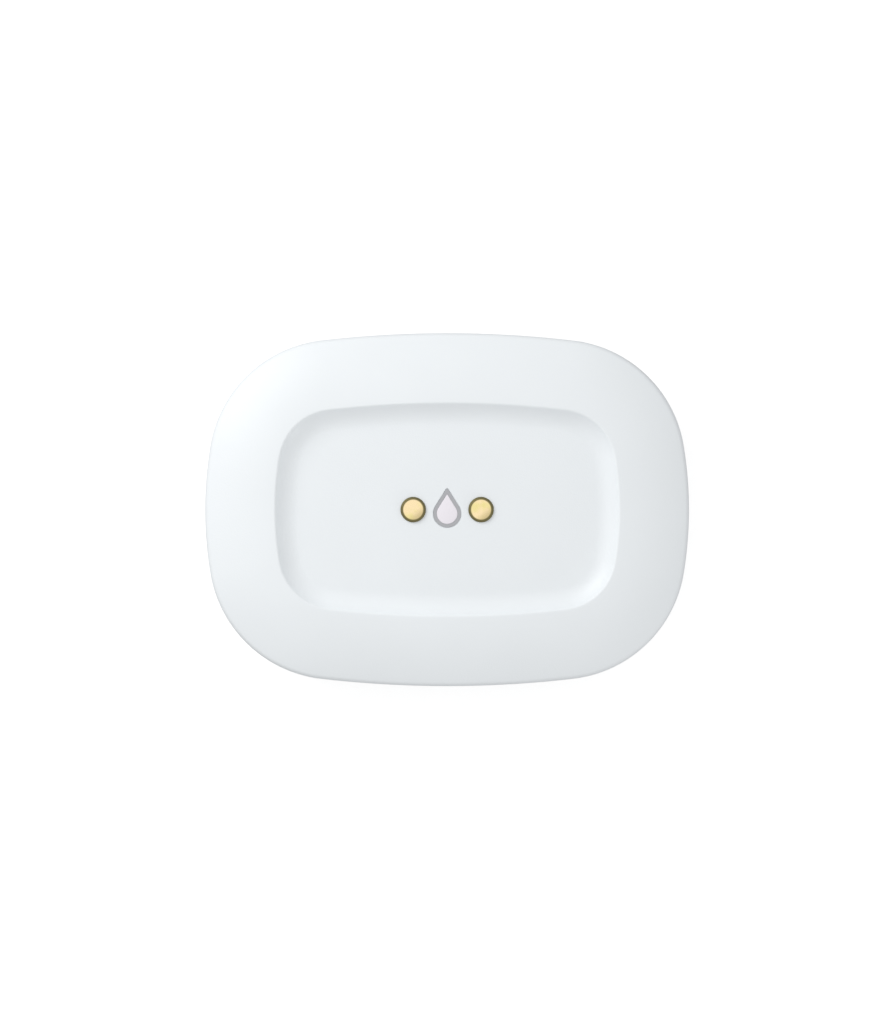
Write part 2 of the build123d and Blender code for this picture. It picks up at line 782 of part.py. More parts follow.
# Battery spring: a wire coil that narrows towards the cell
spring_start = -plate_y + battery_spring_wire / 2 + rest_gap
spring_length = cell_y - battery_spring_wire / 2 - rest_gap - spring_start
spring_place = Location((battery_x, spring_start, battery_z), (-90, 0, 0))
battery_spring_line = coil_line(
    battery_spring_base_radius,
    battery_spring_tip_radius,
    spring_length,
    battery_spring_turns,
    spring_place,
)
with BuildPart() as battery_spring:
    with BuildSketch(Plane(battery_spring_line @ 0, z_dir=battery_spring_line % 0)):
        Circle(battery_spring_wire / 2)
    sweep(path=battery_spring_line)
battery_spring.part.label = "battery_spring"
export_step(battery_spring.part, "parts/battery_spring.step")
print("battery_spring", round(least_gap(battery_spring_line, battery_spring_wire, battery_spring_turns), 3))

# Battery cradle: an arched trough over the cell, with end walls behind the contacts
cradle_half_length = compartment_length / 2 + cradle_end_wall
lead_slot_bottom = frame_top
lead_slot_top = lead_top + lead_slot_margin
with BuildPart() as battery_cradle:
    with BuildSketch(Plane.XZ):
        with Locations((battery_x, battery_z)):
            Circle(cradle_outer_radius)
        with Locations((battery_x, battery_z)):
            Rectangle(
                2 * cradle_outer_radius,
                battery_z - frame_top,
                align=(Align.CENTER, Align.MAX),
            )
        with Locations((battery_x, frame_top)):
            Rectangle(
                2 * cradle_outer_radius,
                dish_underside,
                align=(Align.CENTER, Align.MIN),
                mode=Mode.INTERSECT,
            )
        with Locations((battery_x, battery_z)):
            Rectangle(
                cradle_pad_width,
                dish_underside - rest_gap - battery_z,
                align=(Align.CENTER, Align.MIN),
            )
    extrude(amount=cradle_half_length, both=True)
    with BuildSketch(Plane.XZ):
        with Locations((battery_x, battery_z)):
            Circle(cradle_inner_radius)
        with Locations((battery_x, battery_z)):
            Rectangle(
                2 * cradle_inner_radius,
                battery_z - frame_top,
                align=(Align.CENTER, Align.MAX),
            )
    extrude(amount=compartment_length / 2, both=True, mode=Mode.SUBTRACT)
    with BuildSketch(Plane.XY):
        make_face(outline(wall + base_draft + running_gap))
    extrude(amount=case_height, mode=Mode.INTERSECT)
    for end in (-1, 1):
        with BuildSketch(Plane.XY.offset(lead_slot_bottom)):
            with Locations((cradle_left, end * cradle_half_length)):
                Rectangle(
                    plate_left - cradle_left,
                    cradle_end_wall + sheet + lead_slot_margin,
                    align=(Align.MIN, Align.MAX if end > 0 else Align.MIN),
                )
        extrude(amount=lead_slot_top - lead_slot_bottom, mode=Mode.SUBTRACT)
battery_cradle.part.label = "battery_cradle"
export_step(battery_cradle.part, "parts/battery_cradle.step")

# Circuit board: D-shaped, with holes for its screws and notches for the cover bosses
with BuildPart() as circuit_board:
    with BuildSketch(Plane.XY.offset(board_bottom)):
        make_face(outline(board_inset))
        with Locations((board_right, 0)):
            Rectangle(case_length, case_width, align=(Align.MAX, Align.CENTER), mode=Mode.INTERSECT)
        with Locations(*board_screw_places):
            Circle(board_hole_diameter / 2, mode=Mode.SUBTRACT)
        with Locations(*case_screw_places):
            Circle(cover_boss_diameter / 2 + loose_gap, mode=Mode.SUBTRACT)
    extrude(amount=board_thickness)
circuit_board.part.label = "circuit_board"
export_step(circuit_board.part, "parts/circuit_board.step")

# Screws: three hold the board from above, two hold the case together from below
for node, places, seat, length, up in (
    ("board_screws", board_screw_places, board_top, board_screw_length, 1),
    ("case_screws", case_screw_places, case_screw_seat, case_screw_length, -1),
):
    shank = board_thickness + length if up > 0 else case_screw_web + length
    with BuildPart() as screws:
        for x, y in places:
            with BuildSketch(Plane((x, y, seat), z_dir=(0, 0, up))):
                Circle(screw_head_diameter / 2)
            extrude(amount=screw_head_height)
            with BuildSketch(Plane((x, y, seat), z_dir=(0, 0, up))):
                Circle(screw_diameter / 2)
            extrude(amount=-(shank - loose_gap))
        faces = screws.faces().filter_by(Plane.XY).group_by(Axis.Z)
        fillet((faces[-1] if up > 0 else faces[0]).edges(), screw_head_radius)
        for x, y in places:
            with BuildSketch(Plane((x, y, seat + up * screw_head_height), z_dir=(0, 0, up))):
                Rectangle(screw_recess_length, screw_recess_width)
                Rectangle(screw_recess_width, screw_recess_length)
            extrude(amount=-screw_recess_depth, mode=Mode.SUBTRACT)
    screws.part.label = node
    export_step(screws.part, "parts/" + node + ".step")

# Drip contacts: gold-plated pins through the dish, each with a seal, a washer and a coil
tail_z = boss_bottom - drip_retainer_thickness - drip_shank_tail
drip_spring_start = board_top + drip_spring_wire / 2 + rest_gap
drip_spring_length = tail_z - drip_spring_wire / 2 - rest_gap - drip_spring_start
for (x, y), node in zip(contact_places, ("drip_contact_left", "drip_contact_right")):
    with BuildPart() as drip_contact:
        with BuildSketch(Plane((x, y, dish_floor))):
            Circle(drip_head_diameter / 2)
        extrude(amount=drip_head_height)
        fillet(drip_contact.edges().sort_by(Axis.Z)[-1], drip_head_radius)
        with BuildSketch(Plane((x, y, tail_z))):
            Circle(drip_shank_diameter / 2)
        extrude(amount=dish_floor - tail_z)
    drip_contact.part.label = node
    export_step(drip_contact.part, "parts/" + node + ".step")

seal_radius = (drip_seal_diameter - drip_shank_diameter) / 4 - fit_gap
seal_ring_radius = (drip_seal_diameter + drip_shank_diameter) / 4
with BuildPart() as drip_contact_seals:
    with Locations(*[(x, y, boss_bottom + drip_seal_depth - seal_radius - fit_gap) for x, y in contact_places]):
        Torus(seal_ring_radius, seal_radius)
drip_contact_seals.part.label = "drip_contact_seals"
export_step(drip_contact_seals.part, "parts/drip_contact_seals.step")

with BuildPart() as drip_contact_retainers:
    with BuildSketch(Plane.XY.offset(boss_bottom)):
        with Locations(*contact_places):
            Circle(drip_retainer_diameter / 2)
            Circle(drip_shank_diameter / 2 + fit_gap, mode=Mode.SUBTRACT)
    extrude(amount=-drip_retainer_thickness)
drip_contact_retainers.part.label = "drip_contact_retainers"
export_step(drip_contact_retainers.part, "parts/drip_contact_retainers.step")

for (x, y), node in zip(contact_places, ("drip_contact_spring_left", "drip_contact_spring_right")):
    drip_spring_line = coil_line(
        drip_spring_radius,
        drip_spring_radius,
        drip_spring_length,
        drip_spring_turns,
        Location((x, y, drip_spring_start)),
    )
    with BuildPart() as drip_spring:
        with BuildSketch(Plane(drip_spring_line @ 0, z_dir=drip_spring_line % 0)):
            Circle(drip_spring_wire / 2)
        sweep(path=drip_spring_line)
    drip_spring.part.label = node
    export_step(drip_spring.part, "parts/" + node + ".step")
    print(node, round(least_gap(drip_spring_line, drip_spring_wire, drip_spring_turns), 3))

# Light pipe: a clear water-drop lens, a flange under the dish and a stem down to the light
light_top = board_top + led_height
with BuildPart() as droplet_light_pipe:
    with BuildSketch(Plane.XY.offset(dish_underside)):
        make_face(drop_outline(drop_stroke + rest_gap))
    extrude(amount=dish_floor_thickness)
    with BuildSketch(Plane.XY.offset(dish_underside)):
        with Locations((0, drop_flange_y)):
            SlotOverall(drop_flange_length, drop_flange_width, rotation=90)
    extrude(amount=-drop_flange_thickness)
    with BuildSketch(Plane.XY.offset(light_top + light_stem_gap)):
        Circle(light_stem_diameter / 2)
    extrude(amount=dish_underside - drop_flange_thickness - light_top - light_stem_gap)
droplet_light_pipe.part.label = "droplet_light_pipe"
export_step(droplet_light_pipe.part, "parts/droplet_light_pipe.step")

# Feet: rivets that are also the lower water contacts, each in its own node
for name_y, side_y in (("front", -1), ("rear", 1)):
    for name_x, side_x in (("left", -1), ("right", 1)):
        node = "floor_contact_" + name_y + "_" + name_x
        place = (side_x * foot_x, side_y * foot_y)
        with BuildPart() as floor_contact:
            with BuildSketch(Plane((*place, 0))):
                Circle(foot_diameter / 2)
            extrude(amount=foot_height)
            fillet(floor_contact.edges().sort_by(Axis.Z)[0], foot_edge_radius)
            with BuildSketch(Plane((*place, foot_height))):
                Circle(foot_shank_diameter / 2)
            extrude(amount=floor_thickness + sheet)
            with BuildSketch(Plane((*place, floor_top + sheet))):
                Circle(foot_peen_diameter / 2)
            extrude(amount=foot_peen_height)
            fillet(floor_contact.edges().sort_by(Axis.Z)[-1], foot_edge_radius)
        floor_contact.part.label = node
        export_step(floor_contact.part, "parts/" + node + ".step")

# Contact strips: one joins the two front feet, the other the two rear feet
for name_y, side_y in (("front", -1), ("rear", 1)):
    node = "contact_strip_" + name_y
    with BuildPart() as contact_strip:
        with BuildSketch(Plane.XY.offset(floor_top)):
            with Locations((0, side_y * foot_y)):
                SlotOverall(2 * foot_x + strip_width, strip_width)
            with Locations((-foot_x, side_y * foot_y), (foot_x, side_y * foot_y)):
                Circle(foot_shank_diameter / 2 + fit_gap, mode=Mode.SUBTRACT)
        extrude(amount=sheet)
    contact_strip.part.label = node
    export_step(contact_strip.part, "parts/" + node + ".step")

    # Coil between the strip and the underside of the board
    strip_spring_start = floor_top + sheet + strip_spring_wire / 2 + rest_gap
    strip_spring_length = board_bottom - strip_spring_wire / 2 - rest_gap - strip_spring_start
    strip_spring_line = coil_line(
        strip_spring_radius,
        strip_spring_radius,
        strip_spring_length,
        strip_spring_turns,
        Location((strip_spring_x, side_y * foot_y, strip_spring_start)),
    )
    node = "strip_spring_" + name_y
    with BuildPart() as strip_spring:
        with BuildSketch(Plane(strip_spring_line @ 0, z_dir=strip_spring_line % 0)):
            Circle(strip_spring_wire / 2)
        sweep(path=strip_spring_line)
    strip_spring.part.label = node
    export_step(strip_spring.part, "parts/" + node + ".step")
    print(node, round(least_gap(strip_spring_line, strip_spring_wire, strip_spring_turns), 3))

# Pairing button: a recessed cap with a seal groove, a flange over the floor and a stem
button_bottom = foot_height + button_recess
plunger_bottom = board_bottom - switch_height - plunger_height
button_seal_outer = button_diameter / 2 + button_gap - fit_gap
button_seal_inner = button_seal_outer - button_seal_width
button_seal_z = (button_bottom + floor_top - button_seal_height) / 2
with BuildPart() as pair_button:
    with BuildSketch(Plane((button_x, 0, button_bottom))):
        Circle(button_diameter / 2)
    extrude(amount=floor_top - button_bottom)
    fillet(pair_button.edges().sort_by(Axis.Z)[0], button_recess)
    with BuildSketch(Plane((button_x, 0, button_seal_z))):
        Circle(button_diameter / 2)
        Circle(button_seal_inner, mode=Mode.SUBTRACT)
    extrude(amount=button_seal_height, mode=Mode.SUBTRACT)
    with BuildSketch(Plane((button_x, 0, floor_top))):
        Circle(button_flange_diameter / 2)
    extrude(amount=button_flange_height)
    with BuildSketch(Plane((button_x, 0, floor_top + button_flange_height))):
        Circle(button_stem_diameter / 2)
    extrude(amount=plunger_bottom - floor_top - button_flange_height)
pair_button.part.label = "pair_button"
export_step(pair_button.part, "parts/pair_button.step")

with BuildPart() as button_seal:
    with BuildSketch(Plane((button_x, 0, button_seal_z))):
        Circle(button_seal_outer)
        Circle(button_seal_inner, mode=Mode.SUBTRACT)
    extrude(amount=button_seal_height)
button_seal.part.label = "button_seal"
export_step(button_seal.part, "parts/button_seal.step")

with BuildPart() as pair_switch:
    with BuildSketch(Plane((button_x, 0, board_bottom))):
        Rectangle(switch_size, switch_size)
    extrude(amount=-switch_height)
    chamfer(pair_switch.edges().filter_by(Axis.Z), small_edge)
    with BuildSketch(Plane((button_x, 0, board_bottom - switch_height))):
        Circle(plunger_diameter / 2 + rest_gap)
    extrude(amount=switch_bore_depth, mode=Mode.SUBTRACT)
pair_switch.part.label = "pair_switch"
export_step(pair_switch.part, "parts/pair_switch.step")

with BuildPart() as switch_plunger:
    with BuildSketch(Plane((button_x, 0, plunger_bottom))):
        Circle(plunger_diameter / 2)
    extrude(amount=plunger_height + plunger_depth)
    fillet(switch_plunger.edges().sort_by(Axis.Z)[0], small_edge)
switch_plunger.part.label = "switch_plunger"
export_step(switch_plunger.part, "parts/switch_plunger.step")

# Radio shield: a tin of thin sheet over the radio chip
with BuildPart() as radio_shield:
    with BuildSketch(Plane((shield_x, shield_y, board_top))):
        RectangleRounded(shield_length, shield_width, shield_sheet)
    extrude(amount=shield_height)
    with BuildSketch(Plane((shield_x, shield_y, board_top))):
        Rectangle(shield_length - 2 * shield_sheet, shield_width - 2 * shield_sheet)
    extrude(amount=shield_height - shield_sheet, mode=Mode.SUBTRACT)
radio_shield.part.label = "radio_shield"
export_step(radio_shield.part, "parts/radio_shield.step")

# Block parts on the board: name, place, length, width and height
for node, x, y, length, width, height in (
    ("radio_chip", shield_x, shield_y, chip_size, chip_size, chip_height),
    ("chip_antenna", antenna_x, antenna_y, antenna_length, antenna_width, antenna_height),
    ("clock_crystal", crystal_x, crystal_y, crystal_length, crystal_width, crystal_height),
    ("voltage_regulator", regulator_x, regulator_y, regulator_size, regulator_size, regulator_height),
    ("thermometer_chip", thermometer_x, thermometer_y, thermometer_size, thermometer_size, thermometer_height),
    ("status_light", 0, 0, led_length, led_width, led_height),
):
    with BuildPart() as block:
        with BuildSketch(Plane((x, y, board_top))):
            Rectangle(length, width)
        extrude(amount=height)
        chamfer(block.faces().sort_by(Axis.Z)[-1].edges(), small_edge)
    block.part.label = node
    export_step(block.part, "parts/" + node + ".step")

with BuildPart() as board_capacitors:
    with BuildSketch(Plane((capacitor_x, capacitor_y, board_top))):
        with GridLocations(capacitor_pitch_x, capacitor_pitch_y, 3, 2):
            Rectangle(capacitor_length, capacitor_width)
    extrude(amount=capacitor_height)
    chamfer(board_capacitors.faces().group_by(Axis.Z)[-1].edges(), small_edge)
board_capacitors.part.label = "board_capacitors"
export_step(board_capacitors.part, "parts/board_capacitors.step")
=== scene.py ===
"""Water leak sensor: a white case with a dished top, gold contacts and a water-drop light."""

import json
import logging
import math
from abc import ABC, abstractmethod
from collections.abc import Iterator
from contextlib import contextmanager
from dataclasses import dataclass, field
from enum import Enum
from typing import Any

import bmesh
import bpy
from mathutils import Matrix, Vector

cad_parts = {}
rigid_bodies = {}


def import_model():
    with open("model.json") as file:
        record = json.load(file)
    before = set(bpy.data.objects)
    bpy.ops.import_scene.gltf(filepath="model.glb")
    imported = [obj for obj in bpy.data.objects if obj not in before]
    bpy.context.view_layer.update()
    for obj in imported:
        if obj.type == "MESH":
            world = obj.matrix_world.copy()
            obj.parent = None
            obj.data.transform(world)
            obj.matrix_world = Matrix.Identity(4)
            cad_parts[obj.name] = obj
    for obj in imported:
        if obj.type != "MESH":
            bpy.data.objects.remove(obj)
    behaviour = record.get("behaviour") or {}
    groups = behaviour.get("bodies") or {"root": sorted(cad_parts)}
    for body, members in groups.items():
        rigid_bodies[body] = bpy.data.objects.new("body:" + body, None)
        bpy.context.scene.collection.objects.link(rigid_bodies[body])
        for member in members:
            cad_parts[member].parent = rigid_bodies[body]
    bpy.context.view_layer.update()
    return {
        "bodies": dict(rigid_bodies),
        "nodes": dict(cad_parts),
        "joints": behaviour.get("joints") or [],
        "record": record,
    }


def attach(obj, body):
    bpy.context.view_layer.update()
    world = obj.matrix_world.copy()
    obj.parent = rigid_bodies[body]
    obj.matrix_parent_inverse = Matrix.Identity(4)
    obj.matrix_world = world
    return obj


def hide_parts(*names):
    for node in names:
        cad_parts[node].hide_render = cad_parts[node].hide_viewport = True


LOG = logging.getLogger("sensor")
MM = 0.001
TURN = 2 * math.pi
SMOOTH_ANGLE = math.radians(32)  # Edges up to this sharp are shaded smooth.
FLAT_ANGLE = math.radians(0.25)  # Packed faces that meet flatter than this become one.
BEVEL_ANGLE = math.radians(60)  # Edges sharper than this are bevelled.
SEAM_REACH = 0.001 * MM  # Points nearer to each other than this are merged.
PACKED_REACH = 0.0005 * MM  # The same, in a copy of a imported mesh.
LEVEL_REACH = 0.01 * MM  # Points nearer to a level than this lie on it.
OVERCUT = 1.0  # How far a cutter reaches past what it cuts, in mm.
ROUND_STEPS = 48  # Steps in the turn of a small round piece.
SOFT_STOPS = (0.3, 0.7)  # Noise levels between which a surface's tone changes.
WHITE = (1.0, 1.0, 1.0, 1.0)
MIX_FIRST, MIX_LAST, MIX_RESULT = 6, 7, 2  # Places of a mix node's colour sockets.
Triple = tuple[float, float, float]
Colour = tuple[float, float, float]


class Axis(Enum):
    """Vertical and sideways directions that a profile is spun about."""

    Y = (0.0, 1.0, 0.0)
    Z = (0.0, 0.0, 1.0)


class Grain(Enum):
    """Fine surface that a moulding takes from its tool: grains a metre and their depth."""

    SPARKED = (5200.0, 0.000011)
    SATIN = (8200.0, 0.000005)
    POLISHED = (2400.0, 0.0000015)


def point(x: float, y: float, z: float) -> Vector:
    """Return a point that is given in millimetres, in metres."""
    return Vector((x * MM, y * MM, z * MM))


def report(piece: bpy.types.Object) -> None:
    """Log a finished piece's name and its number of faces."""
    LOG.info("%s: %d faces", piece.name, len(piece.data.polygons))


def clear_selection() -> None:
    """Leave edit mode and deselect every object."""
    if bpy.context.mode != "OBJECT":
        bpy.ops.object.mode_set(mode="OBJECT")
    bpy.ops.object.select_all(action="DESELECT")


def take(piece: bpy.types.Object) -> None:
    """Make a piece the only selected and active one.

    Args:
        piece: The object to work on.
    """
    clear_selection()
    piece.select_set(True)
    bpy.context.view_layer.objects.active = piece


@contextmanager
def editing(piece: bpy.types.Object) -> Iterator[None]:
    """Open a piece in edit mode with all of its mesh selected, and close it afterwards.

    Args:
        piece: The object to work on.

    Yields:
        Nothing, while the piece is open.
    """
    take(piece)
    bpy.ops.object.mode_set(mode="EDIT")
    bpy.ops.mesh.select_all(action="SELECT")
    yield
    bpy.ops.object.mode_set(mode="OBJECT")


def apply_modifier(piece: bpy.types.Object, kind: str, **settings: object) -> None:
    """Add a modifier to a piece and apply it.

    Args:
        piece: The object to change.
        kind: Blender's name for the modifier's type.
        **settings: Values set on the modifier first.
    """
    take(piece)
    modifier = piece.modifiers.new(kind.title(), kind)
    for name, value in settings.items():
        setattr(modifier, name, value)
    bpy.ops.object.modifier_apply(modifier=modifier.name)


def close_seams(piece: bpy.types.Object) -> None:
    """Merge doubled points and turn all faces outwards.

    Args:
        piece: A closed shell.
    """
    with editing(piece):
        bpy.ops.mesh.remove_doubles(threshold=SEAM_REACH)
        bpy.ops.mesh.normals_make_consistent(inside=False)


def smooth(piece: bpy.types.Object) -> None:
    """Shade a piece smooth, but for its sharp edges."""
    take(piece)
    bpy.ops.object.shade_smooth_by_angle(angle=SMOOTH_ANGLE)


def cut_away(piece: bpy.types.Object, cutter: bpy.types.Object) -> None:
    """Cut one closed piece out of another and remove the cutter.

    Args:
        piece: The piece that stays.
        cutter: The closed piece that is taken out of it.
    """
    apply_modifier(piece, "BOOLEAN", object=cutter, operation="DIFFERENCE", solver="EXACT")
    bpy.data.objects.remove(cutter)


def unite(name: str, pieces: list[bpy.types.Object]) -> bpy.types.Object:
    """Melt closed pieces that meet into one closed piece.

    Args:
        name: The name that the whole gets.
        pieces: The pieces, of which the first stays and the others are removed.

    Returns:
        The whole.
    """
    body = pieces[0]
    for addition in pieces[1:]:
        apply_modifier(body, "BOOLEAN", object=addition, operation="UNION", solver="EXACT")
        bpy.data.objects.remove(addition)
    body.name = name
    return body


def trim(piece: bpy.types.Object, place: Vector, outward: Vector) -> None:
    """Cut a closed piece off along a plane and close it there.

    Args:
        piece: The piece to shorten.
        place: A point on the plane, in metres.
        outward: The plane's direction, towards the side that goes.
    """
    with editing(piece):
        bpy.ops.mesh.bisect(plane_co=place, plane_no=outward, use_fill=True, clear_outer=True)


class Pen:
    """Draws a chain of edges, which can then be spun into a shell or filled and extruded."""

    def __init__(self, name: str, start: Vector) -> None:
        """Start a chain.

        Args:
            name: The new object's name.
            start: The chain's first point, in metres.
        """
        clear_selection()
        bpy.ops.mesh.primitive_plane_add(size=MM, location=start)
        self.piece: bpy.types.Object = bpy.context.object
        self.piece.name = name
        bpy.ops.object.transform_apply(location=True, rotation=False, scale=False)
        bpy.ops.object.mode_set(mode="EDIT")
        bpy.ops.mesh.select_all(action="SELECT")
        bpy.ops.mesh.merge(type="CENTER")
        self.tip = start.copy()

    def line(self, end: Vector, steps: int = 1) -> None:
        """Draw a straight stretch to a point.

        Args:
            end: Where the stretch ends, in metres.
            steps: The number of edges in it.
        """
        step = (end - self.tip) / steps
        for _ in range(steps):
            bpy.ops.mesh.extrude_vertices_move(TRANSFORM_OT_translate={"value": step})
        self.tip = end.copy()

    def arc(self, centre: Vector, degrees: float, steps: int, axis: Axis = Axis.Y) -> None:
        """Draw an arc: from +X towards +Z about Y, or from +X towards +Y about Z.

        Args:
            centre: The arc's centre, in metres.
            degrees: The angle turned through; negative turns back.
            steps: The number of edges in it.
            axis: The direction that the arc turns about.
        """
        angle = math.radians(degrees)
        way = -angle if axis is Axis.Z else angle
        bpy.ops.mesh.spin(steps=steps, angle=way, center=centre, axis=axis.value)
        arm = self.tip - centre
        across, up = (arm.x, arm.y) if axis is Axis.Z else (arm.x, arm.z)
        turned_across = across * math.cos(angle) - up * math.sin(angle)
        turned_up = across * math.sin(angle) + up * math.cos(angle)
        if axis is Axis.Z:
            self.tip = centre + Vector((turned_across, turned_up, arm.z))
        else:
            self.tip = centre + Vector((turned_across, arm.y, turned_up))

    def spun(self, centre: Vector, steps: int) -> bpy.types.Object:
        """Spin the chain once round a vertical axis into a closed shell.

        Args:
            centre: A point on the axis, in metres.
            steps: The number of steps in the turn.

        Returns:
            The shell.
        """
        bpy.ops.mesh.select_all(action="SELECT")
        bpy.ops.mesh.spin(steps=steps, angle=TURN, center=centre, axis=Axis.Z.value)
        bpy.ops.object.mode_set(mode="OBJECT")
        close_seams(self.piece)
        return self.piece

    def block(self, height: float) -> bpy.types.Object:
        """Close the chain, fill it and extrude it upwards.

        Args:
            height: The block's height, in metres.

        Returns:
            The block.
        """
        bpy.ops.mesh.select_all(action="SELECT")
        bpy.ops.mesh.remove_doubles(threshold=SEAM_REACH)
        bpy.ops.mesh.edge_face_add()
        bpy.ops.mesh.extrude_region_move(TRANSFORM_OT_translate={"value": (0, 0, height)})
        bpy.ops.object.mode_set(mode="OBJECT")
        close_seams(self.piece)
        return self.piece


def turned(name: str, x: float, y: float, *corners: tuple[float, float]) -> bpy.types.Object:
    """Turn a straight-edged profile round a vertical axis.

    Args:
        name: The new object's name.
        x: The axis's place in X, in mm.
        y: The axis's place in Y, in mm.
        *corners: The profile's radii and heights from axis to axis, in mm.

    Returns:
        The closed piece.
    """
    radius, level = corners[0]
    pen = Pen(name, point(x + radius, y, level))
    for radius, level in corners[1:]:
        pen.line(point(x + radius, y, level))
    return pen.spun(point(x, y, 0.0), ROUND_STEPS)


class Graph:
    """Makes one material's nodes and links."""

    def __init__(self, name: str) -> None:
        """Start an empty material with its output and its surface shader.

        Args:
            name: The material's name.
        """
        self.material = bpy.data.materials.new(name)
        self.material.use_nodes = True
        self.tree = self.material.node_tree
        self.tree.nodes.clear()
        output = self.add("ShaderNodeOutputMaterial")
        self.shader = self.add("ShaderNodeBsdfPrincipled")
        self.link(self.shader.outputs["BSDF"], output.inputs["Surface"])

    def add(self, kind: str, **settings: object) -> bpy.types.Node:
        """Add a node and set its own properties.

        Args:
            kind: The node's type.
            **settings: Properties of the node.

        Returns:
            The node.
        """
        node = self.tree.nodes.new(kind)
        for name, value in settings.items():
            setattr(node, name, value)
        return node

    def link(self, source: bpy.types.NodeSocket, target: bpy.types.NodeSocket) -> None:
        """Link one socket to another."""
        self.tree.links.new(source, target)

    def feed(self, target: str, source: bpy.types.NodeSocket) -> None:
        """Link a socket to one of the surface shader's inputs."""
        self.link(source, self.shader.inputs[target])

    def fix(self, target: str, value: float | tuple[float, ...]) -> None:
        """Set one of the surface shader's inputs to a plain value."""
        self.shader.inputs[target].default_value = value

    def place(self) -> bpy.types.NodeSocket:
        """Return the object coordinates, in metres from the sensor's origin."""
        return self.add("ShaderNodeTexCoord").outputs["Object"]

    def mapped(self, scale: Triple, shift: Triple = (0.0, 0.0, 0.0)) -> bpy.types.NodeSocket:
        """Return the object coordinates, scaled and then shifted.

        Args:
            scale: The factor along each axis.
            shift: What is then added along each axis.

        Returns:
            The changed coordinates.
        """
        node = self.add("ShaderNodeMapping")
        node.inputs["Location"].default_value = shift
        node.inputs["Scale"].default_value = scale
        self.link(self.place(), node.inputs["Vector"])
        return node.outputs["Vector"]

    def noise(
        self, place: bpy.types.NodeSocket, scale: float, detail: float, rough: float = 0.55
    ) -> bpy.types.NodeSocket:
        """Return a noise over some coordinates.

        Args:
            place: The coordinates.
            scale: Waves for each unit of the coordinates.
            detail: The number of finer layers.
            rough: How strong these layers are.

        Returns:
            The noise, from 0 to 1.
        """
        node = self.add("ShaderNodeTexNoise")
        node.inputs["Scale"].default_value = scale
        node.inputs["Detail"].default_value = detail
        node.inputs["Roughness"].default_value = rough
        self.link(place, node.inputs["Vector"])
        return node.outputs["Fac"]

    def span(
        self, source: bpy.types.NodeSocket, low: float, high: float,
        start: float = 0.0, end: float = 1.0,
    ) -> bpy.types.NodeSocket:
        """Go smoothly from one level to another as a value rises.

        Args:
            source: The value.
            low: The level at the start.
            high: The level at the end.
            start: The value at which the change starts.
            end: The value at which it ends.

        Returns:
            The level.
        """
        node = self.add("ShaderNodeMapRange", interpolation_type="SMOOTHSTEP")
        node.inputs["From Min"].default_value = start
        node.inputs["From Max"].default_value = end
        node.inputs["To Min"].default_value = low
        node.inputs["To Max"].default_value = high
        self.link(source, node.inputs["Value"])
        return node.outputs["Result"]

    def blend(
        self, share: bpy.types.NodeSocket, first: bpy.types.NodeSocket, last: Colour
    ) -> bpy.types.NodeSocket:
        """Go from one colour to another as a share rises.

        Args:
            share: How much of the last colour shows, from 0 to 1.
            first: The socket that gives the first colour.
            last: The last colour.

        Returns:
            The blended colour.
        """
        node = self.add("ShaderNodeMix", data_type="RGBA")
        self.link(share, node.inputs["Factor"])
        self.link(first, node.inputs[MIX_FIRST])
        node.inputs[MIX_LAST].default_value = (*last, 1.0)
        return node.outputs[MIX_RESULT]

    def tint(
        self, source: bpy.types.NodeSocket, first: Colour, last: Colour,
        stops: tuple[float, float] = SOFT_STOPS,
    ) -> bpy.types.NodeSocket:
        """Go from one plain colour to another as a value rises.

        Args:
            source: The value.
            first: The colour at the start.
            last: The colour at the end.
            stops: The values at which the change starts and ends.

        Returns:
            The colour.
        """
        node = self.add("ShaderNodeValToRGB")
        for element, stop, colour in zip(node.color_ramp.elements, stops, (first, last)):
            element.position = stop
            element.color = (*colour, 1.0)
        self.link(source, node.inputs["Fac"])
        return node.outputs["Color"]

    def raise_by(self, height: bpy.types.NodeSocket, depth: float) -> None:
        """Bump the surface by a height.

        Args:
            height: The height, from 0 to 1.
            depth: What 1 stands for, in metres.
        """
        node = self.add("ShaderNodeBump")
        node.inputs["Distance"].default_value = depth
        self.link(height, node.inputs["Height"])
        self.feed("Normal", node.outputs["Normal"])

    def radius_from(self, centre: Vector) -> bpy.types.NodeSocket:
        """Measure the distance in plan from a vertical axis.

        Args:
            centre: A point on the axis, in metres.

        Returns:
            The distance, in metres.
        """
        length = self.add("ShaderNodeVectorMath", operation="LENGTH")
        flat = self.mapped((1.0, 1.0, 0.0), (-centre.x, -centre.y, 0.0))
        self.link(flat, length.inputs[0])
        return length.outputs["Value"]


@dataclass(frozen=True)
class Finish(ABC):
    """What a surface is finished in."""

    name: str

    @abstractmethod
    def paint(self, graph: Graph) -> None:
        """Set up the surface in a new material's graph."""

    def material(self) -> bpy.types.Material:
        """Make the finish's material when it is first asked for.

        Returns:
            The material, which all pieces in this finish share.
        """
        name = self.name + "_finish"
        if name not in bpy.data.materials:
            self.paint(Graph(name))
        return bpy.data.materials[name]


